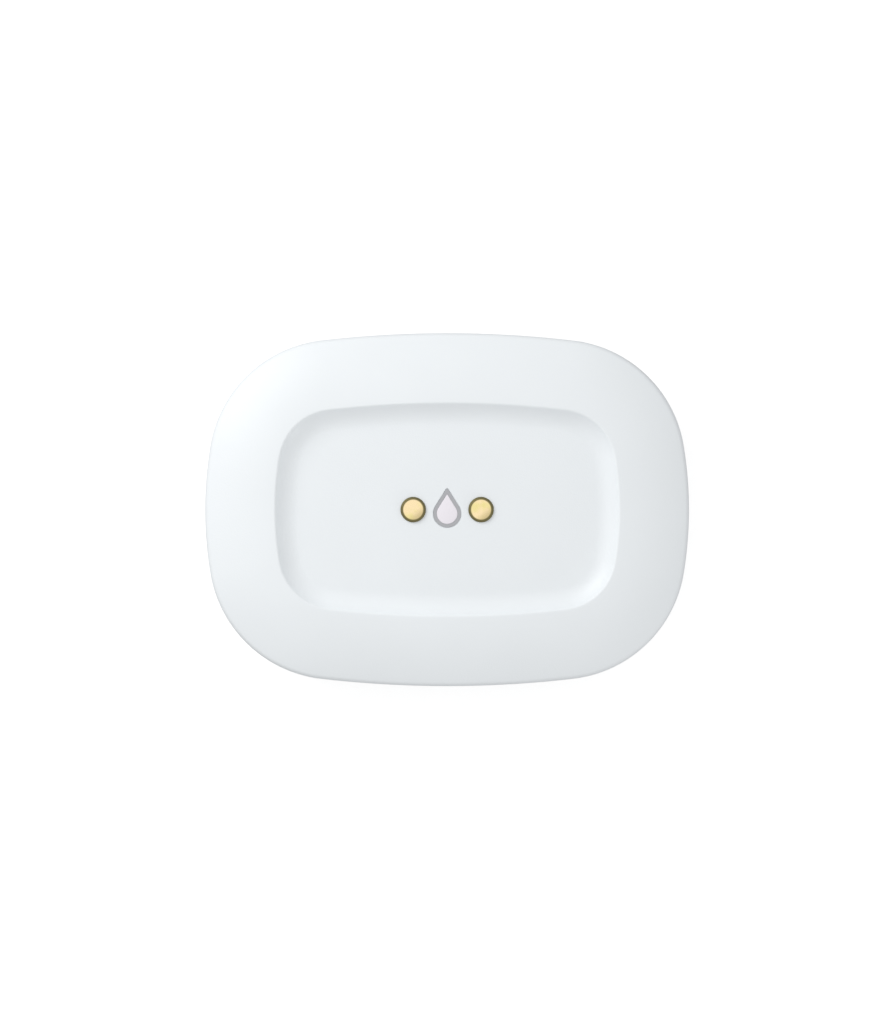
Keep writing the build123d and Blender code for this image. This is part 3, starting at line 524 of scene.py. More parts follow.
@dataclass(frozen=True)
class Moulding(Finish):
    """A moulded plastic or rubber, slightly uneven in tone and with the tool's fine grain."""

    colour: Colour
    shade: float = 0.985
    roughness: float = 0.42
    grain: Grain = Grain.SATIN
    coat: float = 0.0
    ior: float = 1.47
    tone_scale: float = 90.0
    patch_scale: float = 700.0
    patch_spread: float = 0.05

    def paint(self, graph: Graph) -> None:
        """Set up the uneven tone, the patches of gloss and the grain.

        Args:
            graph: The material's graph.
        """
        darker = tuple(part * self.shade for part in self.colour)
        tone = graph.noise(graph.place(), self.tone_scale, detail=2.0)
        graph.feed("Base Color", graph.tint(tone, darker, self.colour))
        patches = graph.noise(graph.place(), self.patch_scale, detail=4.0)
        low, high = self.roughness - self.patch_spread, self.roughness + self.patch_spread
        graph.feed("Roughness", graph.span(patches, low, high))
        scale, depth = self.grain.value
        graph.raise_by(graph.noise(graph.place(), scale, detail=2.0, rough=0.6), depth)
        graph.fix("IOR", self.ior)
        graph.fix("Coat Weight", self.coat)


@dataclass(frozen=True)
class Metal(Finish):
    """A drawn, plated or rolled metal with fine streaks along one direction."""

    colour: Colour
    roughness: float = 0.3
    streak: Triple = (9000.0, 500.0, 9000.0)
    depth: float = 0.000002
    worn: float = 0.88
    streak_spread: float = 0.07

    def paint(self, graph: Graph) -> None:
        """Set up the streaks in colour, gloss and height.

        Args:
            graph: The material's graph.
        """
        darker = tuple(part * self.worn for part in self.colour)
        streaks = graph.noise(graph.mapped(self.streak), scale=1.0, detail=2.0, rough=0.5)
        graph.feed("Base Color", graph.tint(streaks, darker, self.colour))
        low, high = self.roughness - self.streak_spread, self.roughness + self.streak_spread
        graph.feed("Roughness", graph.span(streaks, low, high))
        graph.fix("Metallic", 1.0)
        graph.raise_by(streaks, self.depth)


@dataclass(frozen=True)
class GoldPlate(Finish):
    """Gold plating on a turned pin: clouded on its face, with painted shade towards one side of
    the face and on the edge where it rounds off.
    """

    centre: Vector
    face_radius: float
    colour: Colour = (0.985, 0.79, 0.475)
    cloud_colour: Colour = (0.88, 0.76, 0.34)
    cloud_scale: float = 620.0
    cloud_stops: tuple[float, float] = (0.44, 0.66)
    # Painted shade that darkens the face towards one side: its colour, direction, start and
    # strength.
    painted_shade_colour: Colour = (0.6, 0.49, 0.25)
    painted_shade_side: Triple = (0.64, -0.77, 0.0)
    painted_shade_start: float = 0.1
    painted_shade_share: float = 0.85
    # Painted shade: the dark ring where the head's edge rounds off.
    painted_edge_shade_colour: Colour = (0.17, 0.148, 0.07)
    roughness: float = 0.27
    edge_roughness: float = 0.6
    edge_start: float = 0.1 * MM
    edge_end: float = 0.07 * MM
    ring_pitch: float = 0.11 * MM
    ring_depth: float = 0.0000006

    def face(self, graph: Graph) -> bpy.types.NodeSocket:
        """Colour the flat of the head: clouded, and darker towards one side with painted shade.

        Args:
            graph: The material's graph.

        Returns:
            The colour.
        """
        noise = graph.noise(graph.place(), self.cloud_scale, detail=2.0)
        clouds = graph.tint(noise, self.colour, self.cloud_colour, self.cloud_stops)
        across = graph.add("ShaderNodeVectorMath", operation="DOT_PRODUCT")
        graph.link(graph.place(), across.inputs[0])
        across.inputs[1].default_value = self.painted_shade_side
        middle = self.centre.dot(Vector(self.painted_shade_side))
        start, end = middle + self.painted_shade_start * self.face_radius, middle + self.face_radius
        # Painted shade: the face darkens towards the lower right.
        painted_shade = graph.span(across.outputs["Value"], 0.0, self.painted_shade_share, start, end)
        return graph.blend(painted_shade, clouds, self.painted_shade_colour)

    def turn_rings(self, graph: Graph, radius: bpy.types.NodeSocket) -> None:
        """Bump the surface with the fine rings that turning leaves.

        Args:
            graph: The material's graph.
            radius: The distance from the pin's axis.
        """
        rings = graph.add("ShaderNodeMath", operation="MULTIPLY")
        rings.inputs[1].default_value = TURN / self.ring_pitch
        graph.link(radius, rings.inputs[0])
        wave = graph.add("ShaderNodeMath", operation="SINE")
        graph.link(rings.outputs["Value"], wave.inputs[0])
        graph.raise_by(wave.outputs["Value"], self.ring_depth)

    def paint(self, graph: Graph) -> None:
        """Set up the face, the edge that is rougher and darker with painted shade, and the turned
        rings.

        Args:
            graph: The material's graph.
        """
        radius = graph.radius_from(self.centre)
        start, end = self.face_radius - self.edge_start, self.face_radius + self.edge_end
        # Painted shade: the colour darkens to a dark ring as the edge rounds off.
        edge = graph.span(radius, 0.0, 1.0, start, end)
        graph.feed("Base Color", graph.blend(edge, self.face(graph), self.painted_edge_shade_colour))
        rough = graph.span(radius, self.roughness, self.edge_roughness, start, end)
        graph.feed("Roughness", rough)
        graph.fix("Metallic", 1.0)
        self.turn_rings(graph, radius)


def dress(piece: bpy.types.Object, finish: Finish, slot: str) -> None:
    """Give a piece one finish.

    Args:
        piece: The object to dress.
        finish: The finish.
        slot: The material slot in the record; not used.
    """
    piece.data.materials.clear()
    piece.data.materials.append(finish.material())


@dataclass(frozen=True)
class Outline:
    """Plan of the case: a short-side, a corner and a long-side arc in each quarter, in mm."""

    half_length: float = 30.5
    half_width: float = 22.25
    long_side_radius: float = 138.0
    short_side_radius: float = 49.0
    corner_radius: float = 16.0
    short_side_steps: int = 10
    corner_steps: int = 52
    long_side_steps: int = 16

    @property
    def long_centre(self) -> Vector:
        """Centre of the long side's arc."""
        return Vector((0.0, self.half_width - self.long_side_radius))

    @property
    def short_centre(self) -> Vector:
        """Centre of the short side's arc."""
        return Vector((self.half_length - self.short_side_radius, 0.0))

    @property
    def corner_centre(self) -> Vector:
        """Find the centre of the corner's arc, which touches both sides' arcs.

        Returns:
            The centre, in the first quarter.
        """
        between = self.short_centre - self.long_centre
        long_reach = self.long_side_radius - self.corner_radius
        short_reach = self.short_side_radius - self.corner_radius
        along = (long_reach**2 - short_reach**2 + between.length_squared) / (2 * between.length)
        aside = math.sqrt(long_reach**2 - along**2)
        unit = between.normalized()
        return self.long_centre + unit * along + Vector((unit.y, -unit.x)) * aside

    @property
    def joints(self) -> tuple[float, float]:
        """Find where the corner's arc meets the short side's and the long side's.

        Returns:
            The two angles, in degrees from the X axis.
        """
        to_short = self.corner_centre - self.short_centre
        to_long = self.corner_centre - self.long_centre
        return (
            math.degrees(math.atan2(to_short.y, to_short.x)),
            math.degrees(math.atan2(to_long.y, to_long.x)),
        )

    def sweep(self, pen: Pen) -> bpy.types.Object:
        """Sweep a profile that stands in the XZ plane round the whole case.

        Args:
            pen: The profile, drawn at the right-hand end.

        Returns:
            The swept shell.
        """
        first, second = self.joints
        turns = (
            (self.short_centre, first, self.short_side_steps),
            (self.corner_centre, second - first, self.corner_steps),
            (self.long_centre, 90.0 - second, self.long_side_steps),
        )
        bpy.ops.mesh.select_all(action="SELECT")
        for centre, degrees, steps in turns:
            bpy.ops.mesh.spin(
                steps=steps,
                angle=-math.radians(degrees),
                center=point(centre.x, centre.y, 0.0),
                axis=Axis.Z.value,
            )
        bpy.ops.object.mode_set(mode="OBJECT")
        both = (True, True, False)
        apply_modifier(pen.piece, "MIRROR", use_axis=both, merge_threshold=SEAM_REACH)
        close_seams(pen.piece)
        return pen.piece


@dataclass(frozen=True)
class Drop:
    """Plan of the water drop: a round body, two straight flanks and a small round tip, in mm."""

    radius: float = 1.8
    round_y: float = -0.5
    tip_y: float = 2.48
    tip_radius: float = 0.22
    stroke: float = 0.45
    round_steps: int = 72
    tip_steps: int = 12

    @property
    def lean(self) -> float:
        """Angle of the flanks from the Y axis, in degrees."""
        rise = (self.radius - self.tip_radius) / (self.tip_y - self.round_y)
        return math.degrees(math.asin(rise))

    def block(self, name: str, inset: float, bottom: float, top: float) -> bpy.types.Object:
        """Raise the drop as a closed block.

        Args:
            name: The new object's name.
            inset: How far its outline lies inside the drop's.
            bottom: The height of its underside.
            top: The height of its top.

        Returns:
            The block.
        """
        lean = math.radians(self.lean)
        body = self.radius - inset
        tip = self.tip_radius - inset
        side = Vector((math.cos(lean), math.sin(lean)))
        centre = point(0.0, self.round_y, bottom)
        start = centre + point(-side.x * body, side.y * body, 0.0)
        pen = Pen(name, start)
        pen.arc(centre, 180.0 + 2 * self.lean, self.round_steps, Axis.Z)
        if tip > 0:
            pen.line(point(side.x * tip, self.tip_y + side.y * tip, bottom))
            pen.arc(point(0.0, self.tip_y, bottom), 180.0 - 2 * self.lean, self.tip_steps, Axis.Z)
        else:
            pen.line(point(0.0, self.tip_y + tip / math.sin(lean), bottom))
        pen.line(start)
        return pen.block((top - bottom) * MM)


@dataclass
class Cover:
    """Top cover: a swept shell with bosses, screw posts and snap tabs under it, in mm."""

    outline: Outline = field(default_factory=Outline)
    drop: Drop = field(default_factory=Drop)
    height: float = 21.8
    wall: float = 1.6
    rim_width: float = 8.7
    crest_slope: float = 5.0
    edge_slope: float = 25.0
    edge_radius: float = 0.9
    dish_edge_radius: float = 0.35
    dish_wall_width: float = 2.9
    dish_depth: float = 1.6
    floor_thickness: float = 1.3
    floor_join: float = 0.8
    skirt_bottom: float = 13.0
    skirt_edge: float = 0.12
    tongue_bottom: float = 11.9
    tongue_inset: float = 0.95
    dish_wall_steps: int = 16
    dish_edge_steps: int = 12
    rim_steps: int = 14
    edge_steps: int = 12
    skirt_edge_steps: int = 4
    inner_steps: int = 8
    stroke_depth: float = 0.12
    contact_spacing: float = 8.54
    shank_radius: float = 0.93
    boss_radius: float = 2.4
    boss_height: float = 1.7
    boss_root: float = 0.5
    seal_radius: float = 1.7
    seal_depth: float = 0.9
    post_x: float = -23.2
    post_y: float = 11.6
    post_radius: float = 2.3
    post_bottom: float = 4.2
    bore_radius: float = 0.78
    bore_depth: float = 9.0
    tab_y: float = 6.0
    tab_width: float = 4.0
    tab_bottom: float = 9.0
    tab_root: float = 2.5
    tab_root_inset: float = 1.3
    tab_face_inset: float = 1.85
    tab_back_inset: float = 2.85
    tab_nose_inset: float = 1.4
    tab_nose_height: float = 0.8

    @property
    def dish_floor(self) -> float:
        """Height of the dish's floor."""
        return self.height - self.dish_depth

    @property
    def underside(self) -> float:
        """Height of the underside of the dish's floor."""
        return self.dish_floor - self.floor_thickness

    @property
    def rim_radius(self) -> float:
        """Find the radius of the rim's section, which falls from the crest to the edge.

        Returns:
            The radius that spans the rim between its two slopes.
        """
        crest = math.sin(math.radians(self.crest_slope))
        edge = math.sin(math.radians(self.edge_slope))
        run = self.rim_width - self.edge_radius * (1 - edge) - self.dish_edge_radius * crest
        return run / (edge - crest)

    @property
    def hollow_radius(self) -> float:
        """Find the radius of the dish's wall, which runs out level at its foot.

        Returns:
            The radius that meets the dish's floor and its rounded lip.
        """
        lip = self.dish_depth - self.dish_edge_radius
        reach = self.dish_wall_width**2 + lip**2 - self.dish_edge_radius**2
        return reach / (2 * self.dish_depth)

    def shell(self) -> bpy.types.Object:
        """Sweep the cover's section and fill in the dish's floor.

        Returns:
            The closed shell.
        """
        end = self.outline.half_length
        rim, edge = self.rim_radius, math.radians(self.edge_slope)
        crest_arm = rim - self.dish_edge_radius
        crest = math.radians(self.crest_slope)
        lip_x, lip_z = end - self.rim_width, self.height - self.dish_edge_radius
        rim_x = lip_x - math.sin(crest) * crest_arm
        rim_z = lip_z - math.cos(crest) * crest_arm
        edge_x = rim_x + math.sin(edge) * (rim - self.edge_radius)
        edge_z = rim_z + math.cos(edge) * (rim - self.edge_radius)
        foot_x = lip_x - self.dish_wall_width
        hollow_z = self.dish_floor + self.hollow_radius
        lean = math.degrees(math.atan2(hollow_z - lip_z, foot_x - lip_x))
        inner = rim - self.wall
        skirt_turn = math.degrees(math.acos((end - self.wall - rim_x) / inner))
        inner_turn = math.degrees(math.acos((lip_x - rim_x) / inner))
        wall_top = rim_z + math.sin(math.radians(skirt_turn)) * inner
        low, soft = self.skirt_bottom, self.skirt_bottom + self.skirt_edge
        floor_x = foot_x - self.floor_join
        pen = Pen("top_cover_shell", point(floor_x, 0.0, self.dish_floor))
        pen.line(point(foot_x, 0.0, self.dish_floor), steps=2)
        pen.arc(point(foot_x, 0.0, hollow_z), lean - 90.0, self.dish_wall_steps)
        pen.arc(point(lip_x, 0.0, lip_z), 90.0 - self.crest_slope - lean, self.dish_edge_steps)
        pen.arc(point(rim_x, 0.0, rim_z), self.crest_slope - self.edge_slope, self.rim_steps)
        pen.arc(point(edge_x, 0.0, edge_z), self.edge_slope - 90.0, self.edge_steps)
        pen.line(point(end, 0.0, soft), steps=2)
        pen.arc(point(end - self.skirt_edge, 0.0, soft), -90.0, self.skirt_edge_steps)
        for inset, level in (
            (self.tongue_inset, low),
            (self.tongue_inset, self.tongue_bottom),
            (self.wall, self.tongue_bottom),
            (self.wall, wall_top),
        ):
            pen.line(point(end - inset, 0.0, level))
        pen.arc(point(rim_x, 0.0, rim_z), inner_turn - skirt_turn, self.inner_steps)
        pen.line(point(lip_x, 0.0, self.underside))
        pen.line(point(floor_x, 0.0, self.underside))
        piece = self.outline.sweep(pen)
        for level in (self.dish_floor, self.underside):
            self.fill_ring(piece, level * MM)
        close_seams(piece)
        return piece

    def fill_ring(self, piece: bpy.types.Object, level: float) -> None:
        """Fill the open edge of the shell at one height.

        Args:
            piece: The shell.
            level: The height of the open edge, in metres.
        """
        with editing(piece):
            bpy.ops.mesh.select_mode(type="EDGE")
            bpy.ops.mesh.select_all(action="DESELECT")
            mesh = bmesh.from_edit_mesh(piece.data)
            for side in mesh.edges:
                flat = all(abs(end.co.z - level) < LEVEL_REACH for end in side.verts)
                if side.is_boundary and flat:
                    side.select_set(True)
            bmesh.update_edit_mesh(piece.data)
            bpy.ops.mesh.edge_face_add()
            bpy.ops.mesh.select_mode(type="VERT")

    def contact_places(self) -> tuple[float, float]:
        """Return the X of the two contacts."""
        return (-self.contact_spacing / 2, self.contact_spacing / 2)

    def contact_boss(self, x: float) -> bpy.types.Object:
        """Turn the round boss under a contact, which reaches up into the dish's floor.

        Args:
            x: The contact's X.

        Returns:
            The boss.
        """
        low, high = self.underside - self.boss_height, self.underside + self.boss_root
        return turned(
            "contact_boss", x, 0.0,
            (0.0, low),
            (self.boss_radius, low),
            (self.boss_radius, high),
            (0.0, high),
        )

    def contact_hole(self, x: float) -> bpy.types.Object:
        """Turn the cutter for a contact's shank and for the seal's seat under it.

        Args:
            x: The contact's X.

        Returns:
            The cutter.
        """
        boss_bottom = self.underside - self.boss_height
        seat, below = boss_bottom + self.seal_depth, boss_bottom - self.seal_depth
        return turned(
            "contact_hole", x, 0.0,
            (0.0, below),
            (self.seal_radius, below),
            (self.seal_radius, seat),
            (self.shank_radius, seat),
            (self.shank_radius, self.height),
            (0.0, self.height),
        )

    def screw_post(self, side: int) -> bpy.types.Object:
        """Turn the post that holds one case screw, bored from below.

        Args:
            side: 1 for the post at the rear and -1 for the one at the front.

        Returns:
            The post.
        """
        bored = self.post_bottom + self.bore_depth
        return turned(
            "screw_post", self.post_x, side * self.post_y,
            (0.0, bored),
            (self.bore_radius, bored),
            (self.bore_radius, self.post_bottom),
            (self.post_radius, self.post_bottom),
            (self.post_radius, self.dish_floor),
            (0.0, self.dish_floor),
        )

    def snap_tab(self, side: int) -> bpy.types.Object:
        """Cut one of the tabs that reach down inside the base out of a swept profile.

        Args:
            side: 1 for the tab at the rear and -1 for the one at the front.

        Returns:
            The tab.
        """
        end, low = self.outline.half_length, self.tab_bottom
        root_top = self.skirt_bottom + self.tab_root
        pen = Pen("snap_tab", point(end - self.tab_back_inset, 0.0, low))
        for inset, level in (
            (self.tab_nose_inset, low),
            (self.tab_nose_inset, low + self.tab_nose_height),
            (self.tab_face_inset, low + self.tab_nose_height),
            (self.tab_face_inset, self.skirt_bottom),
            (self.tab_root_inset, self.skirt_bottom),
            (self.tab_root_inset, root_top),
            (self.tab_back_inset, root_top),
            (self.tab_back_inset, low),
        ):
            pen.line(point(end - inset, 0.0, level))
        piece = self.outline.sweep(pen)
        trim(piece, Vector(), Vector((-1.0, 0.0, 0.0)))
        for edge in (-1, 1):
            flank = side * self.tab_y + edge * self.tab_width / 2
            trim(piece, point(0.0, flank, 0.0), Vector((0.0, float(edge), 0.0)))
        return piece

    def build(self) -> bpy.types.Object:
        """Build the cover, dress it and let it stand for its node.

        Returns:
            The cover.
        """
        piece = self.shell()
        for name, inset, bottom in (
            ("drop_window", self.drop.stroke, self.underside - OVERCUT),
            ("drop_groove", 0.0, self.dish_floor - self.stroke_depth),
        ):
            cut_away(piece, self.drop.block(name, inset, bottom, self.height))
        bosses = [self.contact_boss(x) for x in self.contact_places()]
        posts = [self.screw_post(side) for side in (-1, 1)]
        tabs = [self.snap_tab(side) for side in (-1, 1)]
        piece = unite("cover", [piece, *bosses, *posts, *tabs])
        for x in self.contact_places():
            cut_away(piece, self.contact_hole(x))
        smooth(piece)
        dress(piece, CASE_WHITE, "case_white")
        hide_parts("top_cover")
        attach(piece, "root")
        return piece


CASE_WHITE = Moulding("case_white", (0.835, 0.868, 0.89), roughness=0.46, grain=Grain.SPARKED)
INNER_WHITE = Moulding("inner_white", (0.78, 0.8, 0.8), roughness=0.55)
STROKE_GREY = Moulding("drop_stroke_grey", (0.42, 0.425, 0.445), roughness=0.5)
LENS = Moulding("drop_lens", (0.85, 0.815, 0.865), roughness=0.36, grain=Grain.POLISHED)
SEAL_GREY = Moulding("seal_grey", (0.14, 0.145, 0.15), roughness=0.7)
BUTTON_GREY = Moulding("button_grey", (0.46, 0.49, 0.52), roughness=0.5)
CHIP_BLACK = Moulding("chip_black", (0.02, 0.02, 0.022), roughness=0.5)
BOARD_GREEN = Moulding("board_green", (0.012, 0.085, 0.04), shade=0.7, roughness=0.35, coat=0.4)
CERAMIC = Moulding("antenna_ceramic", (0.72, 0.72, 0.68), roughness=0.4)
TAN = Moulding("capacitor_tan", (0.32, 0.2, 0.11), shade=0.8, roughness=0.45)
PLATED = Metal("plated_steel", (0.62, 0.62, 0.6), 0.28)
SPRING = Metal("spring_steel", (0.5, 0.5, 0.5), 0.24)
SCREW = Metal("screw_steel", (0.42, 0.43, 0.44), 0.3, (6000.0, 6000.0, 900.0))
WRAP = Metal("cell_wrap", (0.66, 0.67, 0.69), 0.34, (2500.0, 300.0, 2500.0))
GOLD_FOOT = Metal("gold_foot", (0.95, 0.74, 0.4), 0.27, (6000.0, 6000.0, 1500.0))

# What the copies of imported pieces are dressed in, by the record's material slot.
SLOT_FINISHES: dict[str, Finish] = {
    "case_white": CASE_WHITE,
    "inner_white": INNER_WHITE,
    "gold_plating": GOLD_FOOT,
    "seal_grey": SEAL_GREY,
    "plated_steel": PLATED,
    "spring_steel": SPRING,
    "screw_steel": SCREW,
    "cell_wrap": WRAP,
    "board_green": BOARD_GREEN,
    "chip_black": CHIP_BLACK,
    "antenna_ceramic": CERAMIC,
    "capacitor_tan": TAN,
    "button_grey": BUTTON_GREY,
}


@dataclass
class DripContact:
    """A gold-plated pin: a low round head on the dish and a shank through it, in mm."""

    node: str
    x: float
    head_radius: float = 1.6
    head_height: float = 0.35
    edge_radius: float = 0.27
    face_radius: float = 1.27
    face_fall: float = 3.0
    shank_radius: float = 0.9
    dish_floor: float = 20.2
    tail: float = 15.9
    face_steps: int = 10
    edge_steps: int = 10
    turn_steps: int = 96

    def build(self) -> bpy.types.Object:
        """Build the pin, dress it and let it stand for its node.

        Returns:
            The pin.
        """
        top = self.dish_floor + self.head_height
        fall = math.radians(self.face_fall)
        crown = self.face_radius / math.sin(fall)
        face_edge = top - crown * (1 - math.cos(fall))
        edge_x = self.x + (self.head_radius - self.edge_radius)
        pen = Pen(self.node + "_pin", point(self.x, 0.0, top))
        pen.arc(point(self.x, 0.0, top - crown), -self.face_fall, self.face_steps)
        pen.line(point(edge_x, 0.0, face_edge), steps=2)
        pen.arc(point(edge_x, 0.0, face_edge - self.edge_radius), -90.0, self.edge_steps)
        for radius, level in (
            (self.head_radius, self.dish_floor),
            (self.shank_radius, self.dish_floor),
            (self.shank_radius, self.tail),
            (0.0, self.tail),
        ):
            pen.line(point(self.x + radius, 0.0, level))
        centre = point(self.x, 0.0, 0.0)
        piece = pen.spun(centre, self.turn_steps)
        smooth(piece)
        dress(piece, GoldPlate(self.node + "_gold", centre, self.face_radius * MM), "gold_plating")
        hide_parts(self.node)
        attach(piece, "root")
        return piece


@dataclass
class DropLight:
    """The water-drop light: a lens with its flange and stem, and the grey stroke, in mm."""

    drop: Drop = field(default_factory=Drop)
    dish_floor: float = 20.2
    underside: float = 18.9
    lens_inset: float = 0.5
    lens_edge: float = 0.06
    lens_edge_steps: int = 3
    flange_width: float = 2.9
    flange_length: float = 6.8
    flange_y: float = 0.3
    flange_thickness: float = 0.9
    flange_end_steps: int = 32
    stem_radius: float = 1.4
    stem_bottom: float = 7.5
    stroke_depth: float = 0.12
    ink: float = 0.09
    stroke_gap: float = 0.06
    lens_gap: float = 0.005

    def flange(self) -> bpy.types.Object:
        """Raise the round-ended plate under the dish that carries the lens.

        Returns:
            The plate.
        """
        end = self.flange_width / 2
        reach = self.flange_length / 2 - end
        low = self.underside - self.flange_thickness
        pen = Pen("lens_flange", point(end, self.flange_y - reach, low))
        for side in (1, -1):
            pen.line(point(side * end, self.flange_y + side * reach, low))
            middle = point(0.0, self.flange_y + side * reach, low)
            pen.arc(middle, 180.0, self.flange_end_steps, Axis.Z)
        return pen.block(self.flange_thickness * MM)

    def stem(self) -> bpy.types.Object:
        """Turn the rod that takes the light up from the board.

        Returns:
            The rod.
        """
        top = self.underside - self.flange_thickness
        return turned(
            "lens_stem", 0.0, 0.0,
            (0.0, top),
            (self.stem_radius, top),
            (self.stem_radius, self.stem_bottom + self.lens_edge),
            (self.stem_radius - self.lens_edge, self.stem_bottom),
            (0.0, self.stem_bottom),
        )

    def build_pipe(self) -> bpy.types.Object:
        """Build the light pipe, dress it and let it stand for its node.

        Returns:
            The light pipe.
        """
        face = self.drop.block("lens_face", self.lens_inset, self.underside, self.dish_floor)
        apply_modifier(
            face, "BEVEL", width=self.lens_edge * MM, segments=self.lens_edge_steps,
            limit_method="ANGLE", angle_limit=BEVEL_ANGLE,
        )
        piece = unite("light_pipe", [face, self.flange(), self.stem()])
        smooth(piece)
        dress(piece, LENS, "drop_lens")
        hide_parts("droplet_light_pipe")
        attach(piece, "root")
        return piece

    def build_stroke(self) -> bpy.types.Object:
        """Build the ink that lies in the cover's groove and dress it.

        Returns:
            The stroke.
        """
        low = self.dish_floor - self.stroke_depth
        inside = self.lens_inset - self.lens_gap
        piece = self.drop.block("drop_stroke", self.stroke_gap, low, low + self.ink)
        cut_away(piece, self.drop.block("drop_inside", inside, low - OVERCUT, low + OVERCUT))
        smooth(piece)
        dress(piece, STROKE_GREY, "seal_grey")
        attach(piece, "root")
        return piece


@dataclass
class CadPieces:
    """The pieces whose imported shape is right, as merged and smoothly shaded copies."""

    frame: dict[str, Any]
    left_out: frozenset[str] = frozenset(
        {"top_cover", "drip_contact_left", "drip_contact_right", "droplet_light_pipe"}
    )

    def body_of(self, node: str) -> str:
        """Return the body that a node rides on."""
        bodies = self.frame["record"]["behaviour"]["bodies"]
        return next(body for body, nodes in bodies.items() if node in nodes)

    def smooth_copy(self, node: str, slot: str) -> bpy.types.Object:
        """Build a merged and smoothly shaded copy of a node, and let it stand for the node.

        Args:
            node: The node's name.
            slot: The node's material slot.

        Returns:
            The copy.
        """
        source = self.frame["nodes"][node]
        piece = bpy.data.objects.new(node + "_finished", source.data.copy())
        bpy.context.scene.collection.objects.link(piece)
        with editing(piece):
            bpy.ops.mesh.remove_doubles(threshold=PACKED_REACH)
            bpy.ops.mesh.dissolve_limited(angle_limit=FLAT_ANGLE, delimit={"NORMAL"})
        smooth(piece)
        apply_modifier(piece, "WEIGHTED_NORMAL", keep_sharp=True, weight=100)
        dress(piece, SLOT_FINISHES[slot], slot)
        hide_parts(node)
        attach(piece, self.body_of(node))
        return piece

    def build(self) -> list[bpy.types.Object]:
        """Build a copy of every node that no other class stands for.

        Returns:
            The copies.
        """
        return [
            self.smooth_copy(part["node"], part["material_slot"])
            for part in self.frame["record"]["subparts"]
            if part["node"] not in self.left_out
        ]


@dataclass(frozen=True)
class SoftLamp:
    """A square soft lamp that points at the sensor, in metres and watts."""

    name: str
    place: Triple
    size: float
    power: float

    def hang(self) -> None:
        """Put the lamp in its place and turn it towards the sensor's origin."""
        light = bpy.data.lights.new(self.name, "AREA")
        light.size = self.size
        light.energy = self.power
        lamp = bpy.data.objects.new(self.name, light)
        lamp.location = self.place
        lamp.rotation_euler = (-Vector(self.place)).to_track_quat("-Z", "Y").to_euler()
        bpy.context.scene.collection.objects.link(lamp)


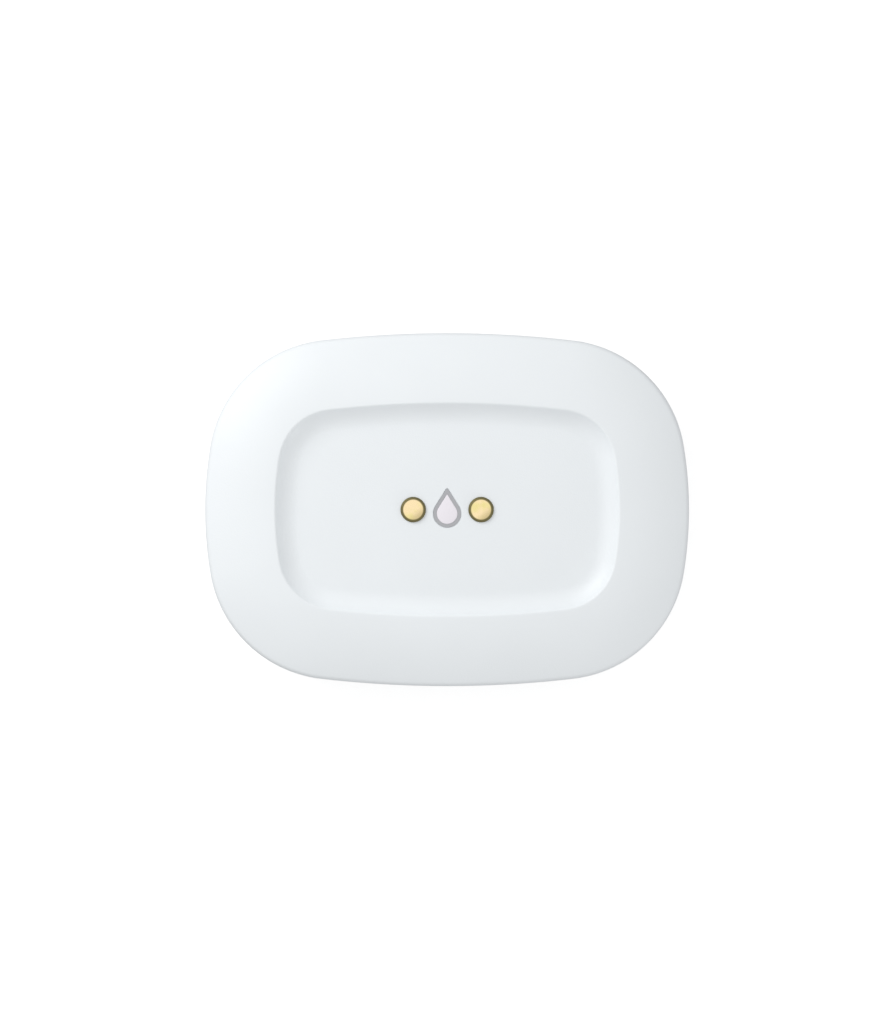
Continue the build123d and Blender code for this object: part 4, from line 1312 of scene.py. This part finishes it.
@dataclass
class Studio:
    """Pale floor, soft lamps, white surroundings and a camera straight above."""

    camera_place: Triple = (0.00011, -0.0003, 0.7361)
    camera_near: float = 0.01
    lens: float = 200.0
    sensor_width: float = 36.0
    zenith: float = 0.84
    horizon: float = 0.54
    floor_size: float = 3.0
    floor_colour: Colour = (0.42, 0.42, 0.42)
    floor_roughness: float = 0.9
    floor_glow: float = 0.72
    floor_drop: float = -0.00002
    lamps: tuple[SoftLamp, ...] = (
        SoftLamp("key", (-0.187, 0.157, 0.172), 0.15, 0.375),
        SoftLamp("fill", (0.377, -0.317, 0.087), 0.12, 0.3),
    )

    def floor(self) -> bpy.types.Object:
        """Build the floor: white to the camera, and it keeps the sensor's shadow.

        Returns:
            The floor.
        """
        clear_selection()
        place = (0.0, 0.0, self.floor_drop)
        bpy.ops.mesh.primitive_plane_add(size=self.floor_size, location=place)
        piece = bpy.context.object
        piece.name = "studio_floor"
        graph = Graph("studio_floor")
        graph.fix("Base Color", (*self.floor_colour, 1.0))
        graph.fix("Roughness", self.floor_roughness)
        path = graph.add("ShaderNodeLightPath")
        glow = graph.add("ShaderNodeMath", operation="MULTIPLY")
        glow.inputs[1].default_value = self.floor_glow
        graph.link(path.outputs["Is Camera Ray"], glow.inputs[0])
        graph.fix("Emission Color", WHITE)
        graph.feed("Emission Strength", glow.outputs["Value"])
        piece.data.materials.append(graph.material)
        return piece

    def surroundings(self) -> None:
        """Set the world: white to the camera and in reflections, and light mostly from above."""
        world = bpy.data.worlds.new("surroundings")
        bpy.context.scene.world = world
        world.use_nodes = True
        tree = world.node_tree
        back = tree.nodes["Background"]
        back.inputs["Color"].default_value = WHITE
        way = tree.nodes.new("ShaderNodeTexCoord")
        parts = tree.nodes.new("ShaderNodeSeparateXYZ")
        tree.links.new(way.outputs["Generated"], parts.inputs["Vector"])
        sky = tree.nodes.new("ShaderNodeMapRange")
        sky.inputs["To Min"].default_value = self.horizon
        sky.inputs["To Max"].default_value = self.zenith
        tree.links.new(parts.outputs["Z"], sky.inputs["Value"])
        path = tree.nodes.new("ShaderNodeLightPath")
        seen = path.outputs["Is Camera Ray"]
        for ray in ("Is Glossy Ray", "Is Transmission Ray"):
            either = tree.nodes.new("ShaderNodeMath")
            either.operation = "MAXIMUM"
            tree.links.new(seen, either.inputs[0])
            tree.links.new(path.outputs[ray], either.inputs[1])
            seen = either.outputs["Value"]
        level = tree.nodes.new("ShaderNodeMapRange")
        level.inputs["To Max"].default_value = 1.0
        tree.links.new(sky.outputs["Result"], level.inputs["To Min"])
        tree.links.new(seen, level.inputs["Value"])
        tree.links.new(level.outputs["Result"], back.inputs["Strength"])

    def camera(self) -> None:
        """Set the camera above the sensor, a little off its middle as in the photograph."""
        lens = bpy.data.cameras.new("camera")
        lens.lens = self.lens
        lens.sensor_width = self.sensor_width
        lens.sensor_fit = "AUTO"
        lens.clip_start = self.camera_near
        camera = bpy.data.objects.new("camera", lens)
        camera.location = self.camera_place
        bpy.context.scene.collection.objects.link(camera)
        bpy.context.scene.camera = camera

    def build(self) -> None:
        """Set up the whole studio."""
        bpy.context.scene.view_settings.view_transform = "Standard"
        self.floor()
        self.surroundings()
        for lamp in self.lamps:
            lamp.hang()
        self.camera()


def main() -> None:
    """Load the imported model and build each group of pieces."""
    logging.basicConfig(level=logging.INFO, format="%(name)s: %(message)s")
    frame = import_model()
    cover = Cover()
    report(cover.build())
    left, right = cover.contact_places()
    for node, x in (("drip_contact_left", left), ("drip_contact_right", right)):
        report(DripContact(node, x).build())
    light = DropLight()
    report(light.build_pipe())
    report(light.build_stroke())
    for piece in CadPieces(frame).build():
        report(piece)
    Studio().build()
    LOG.info("studio set")


if __name__ == "__main__":
    main()
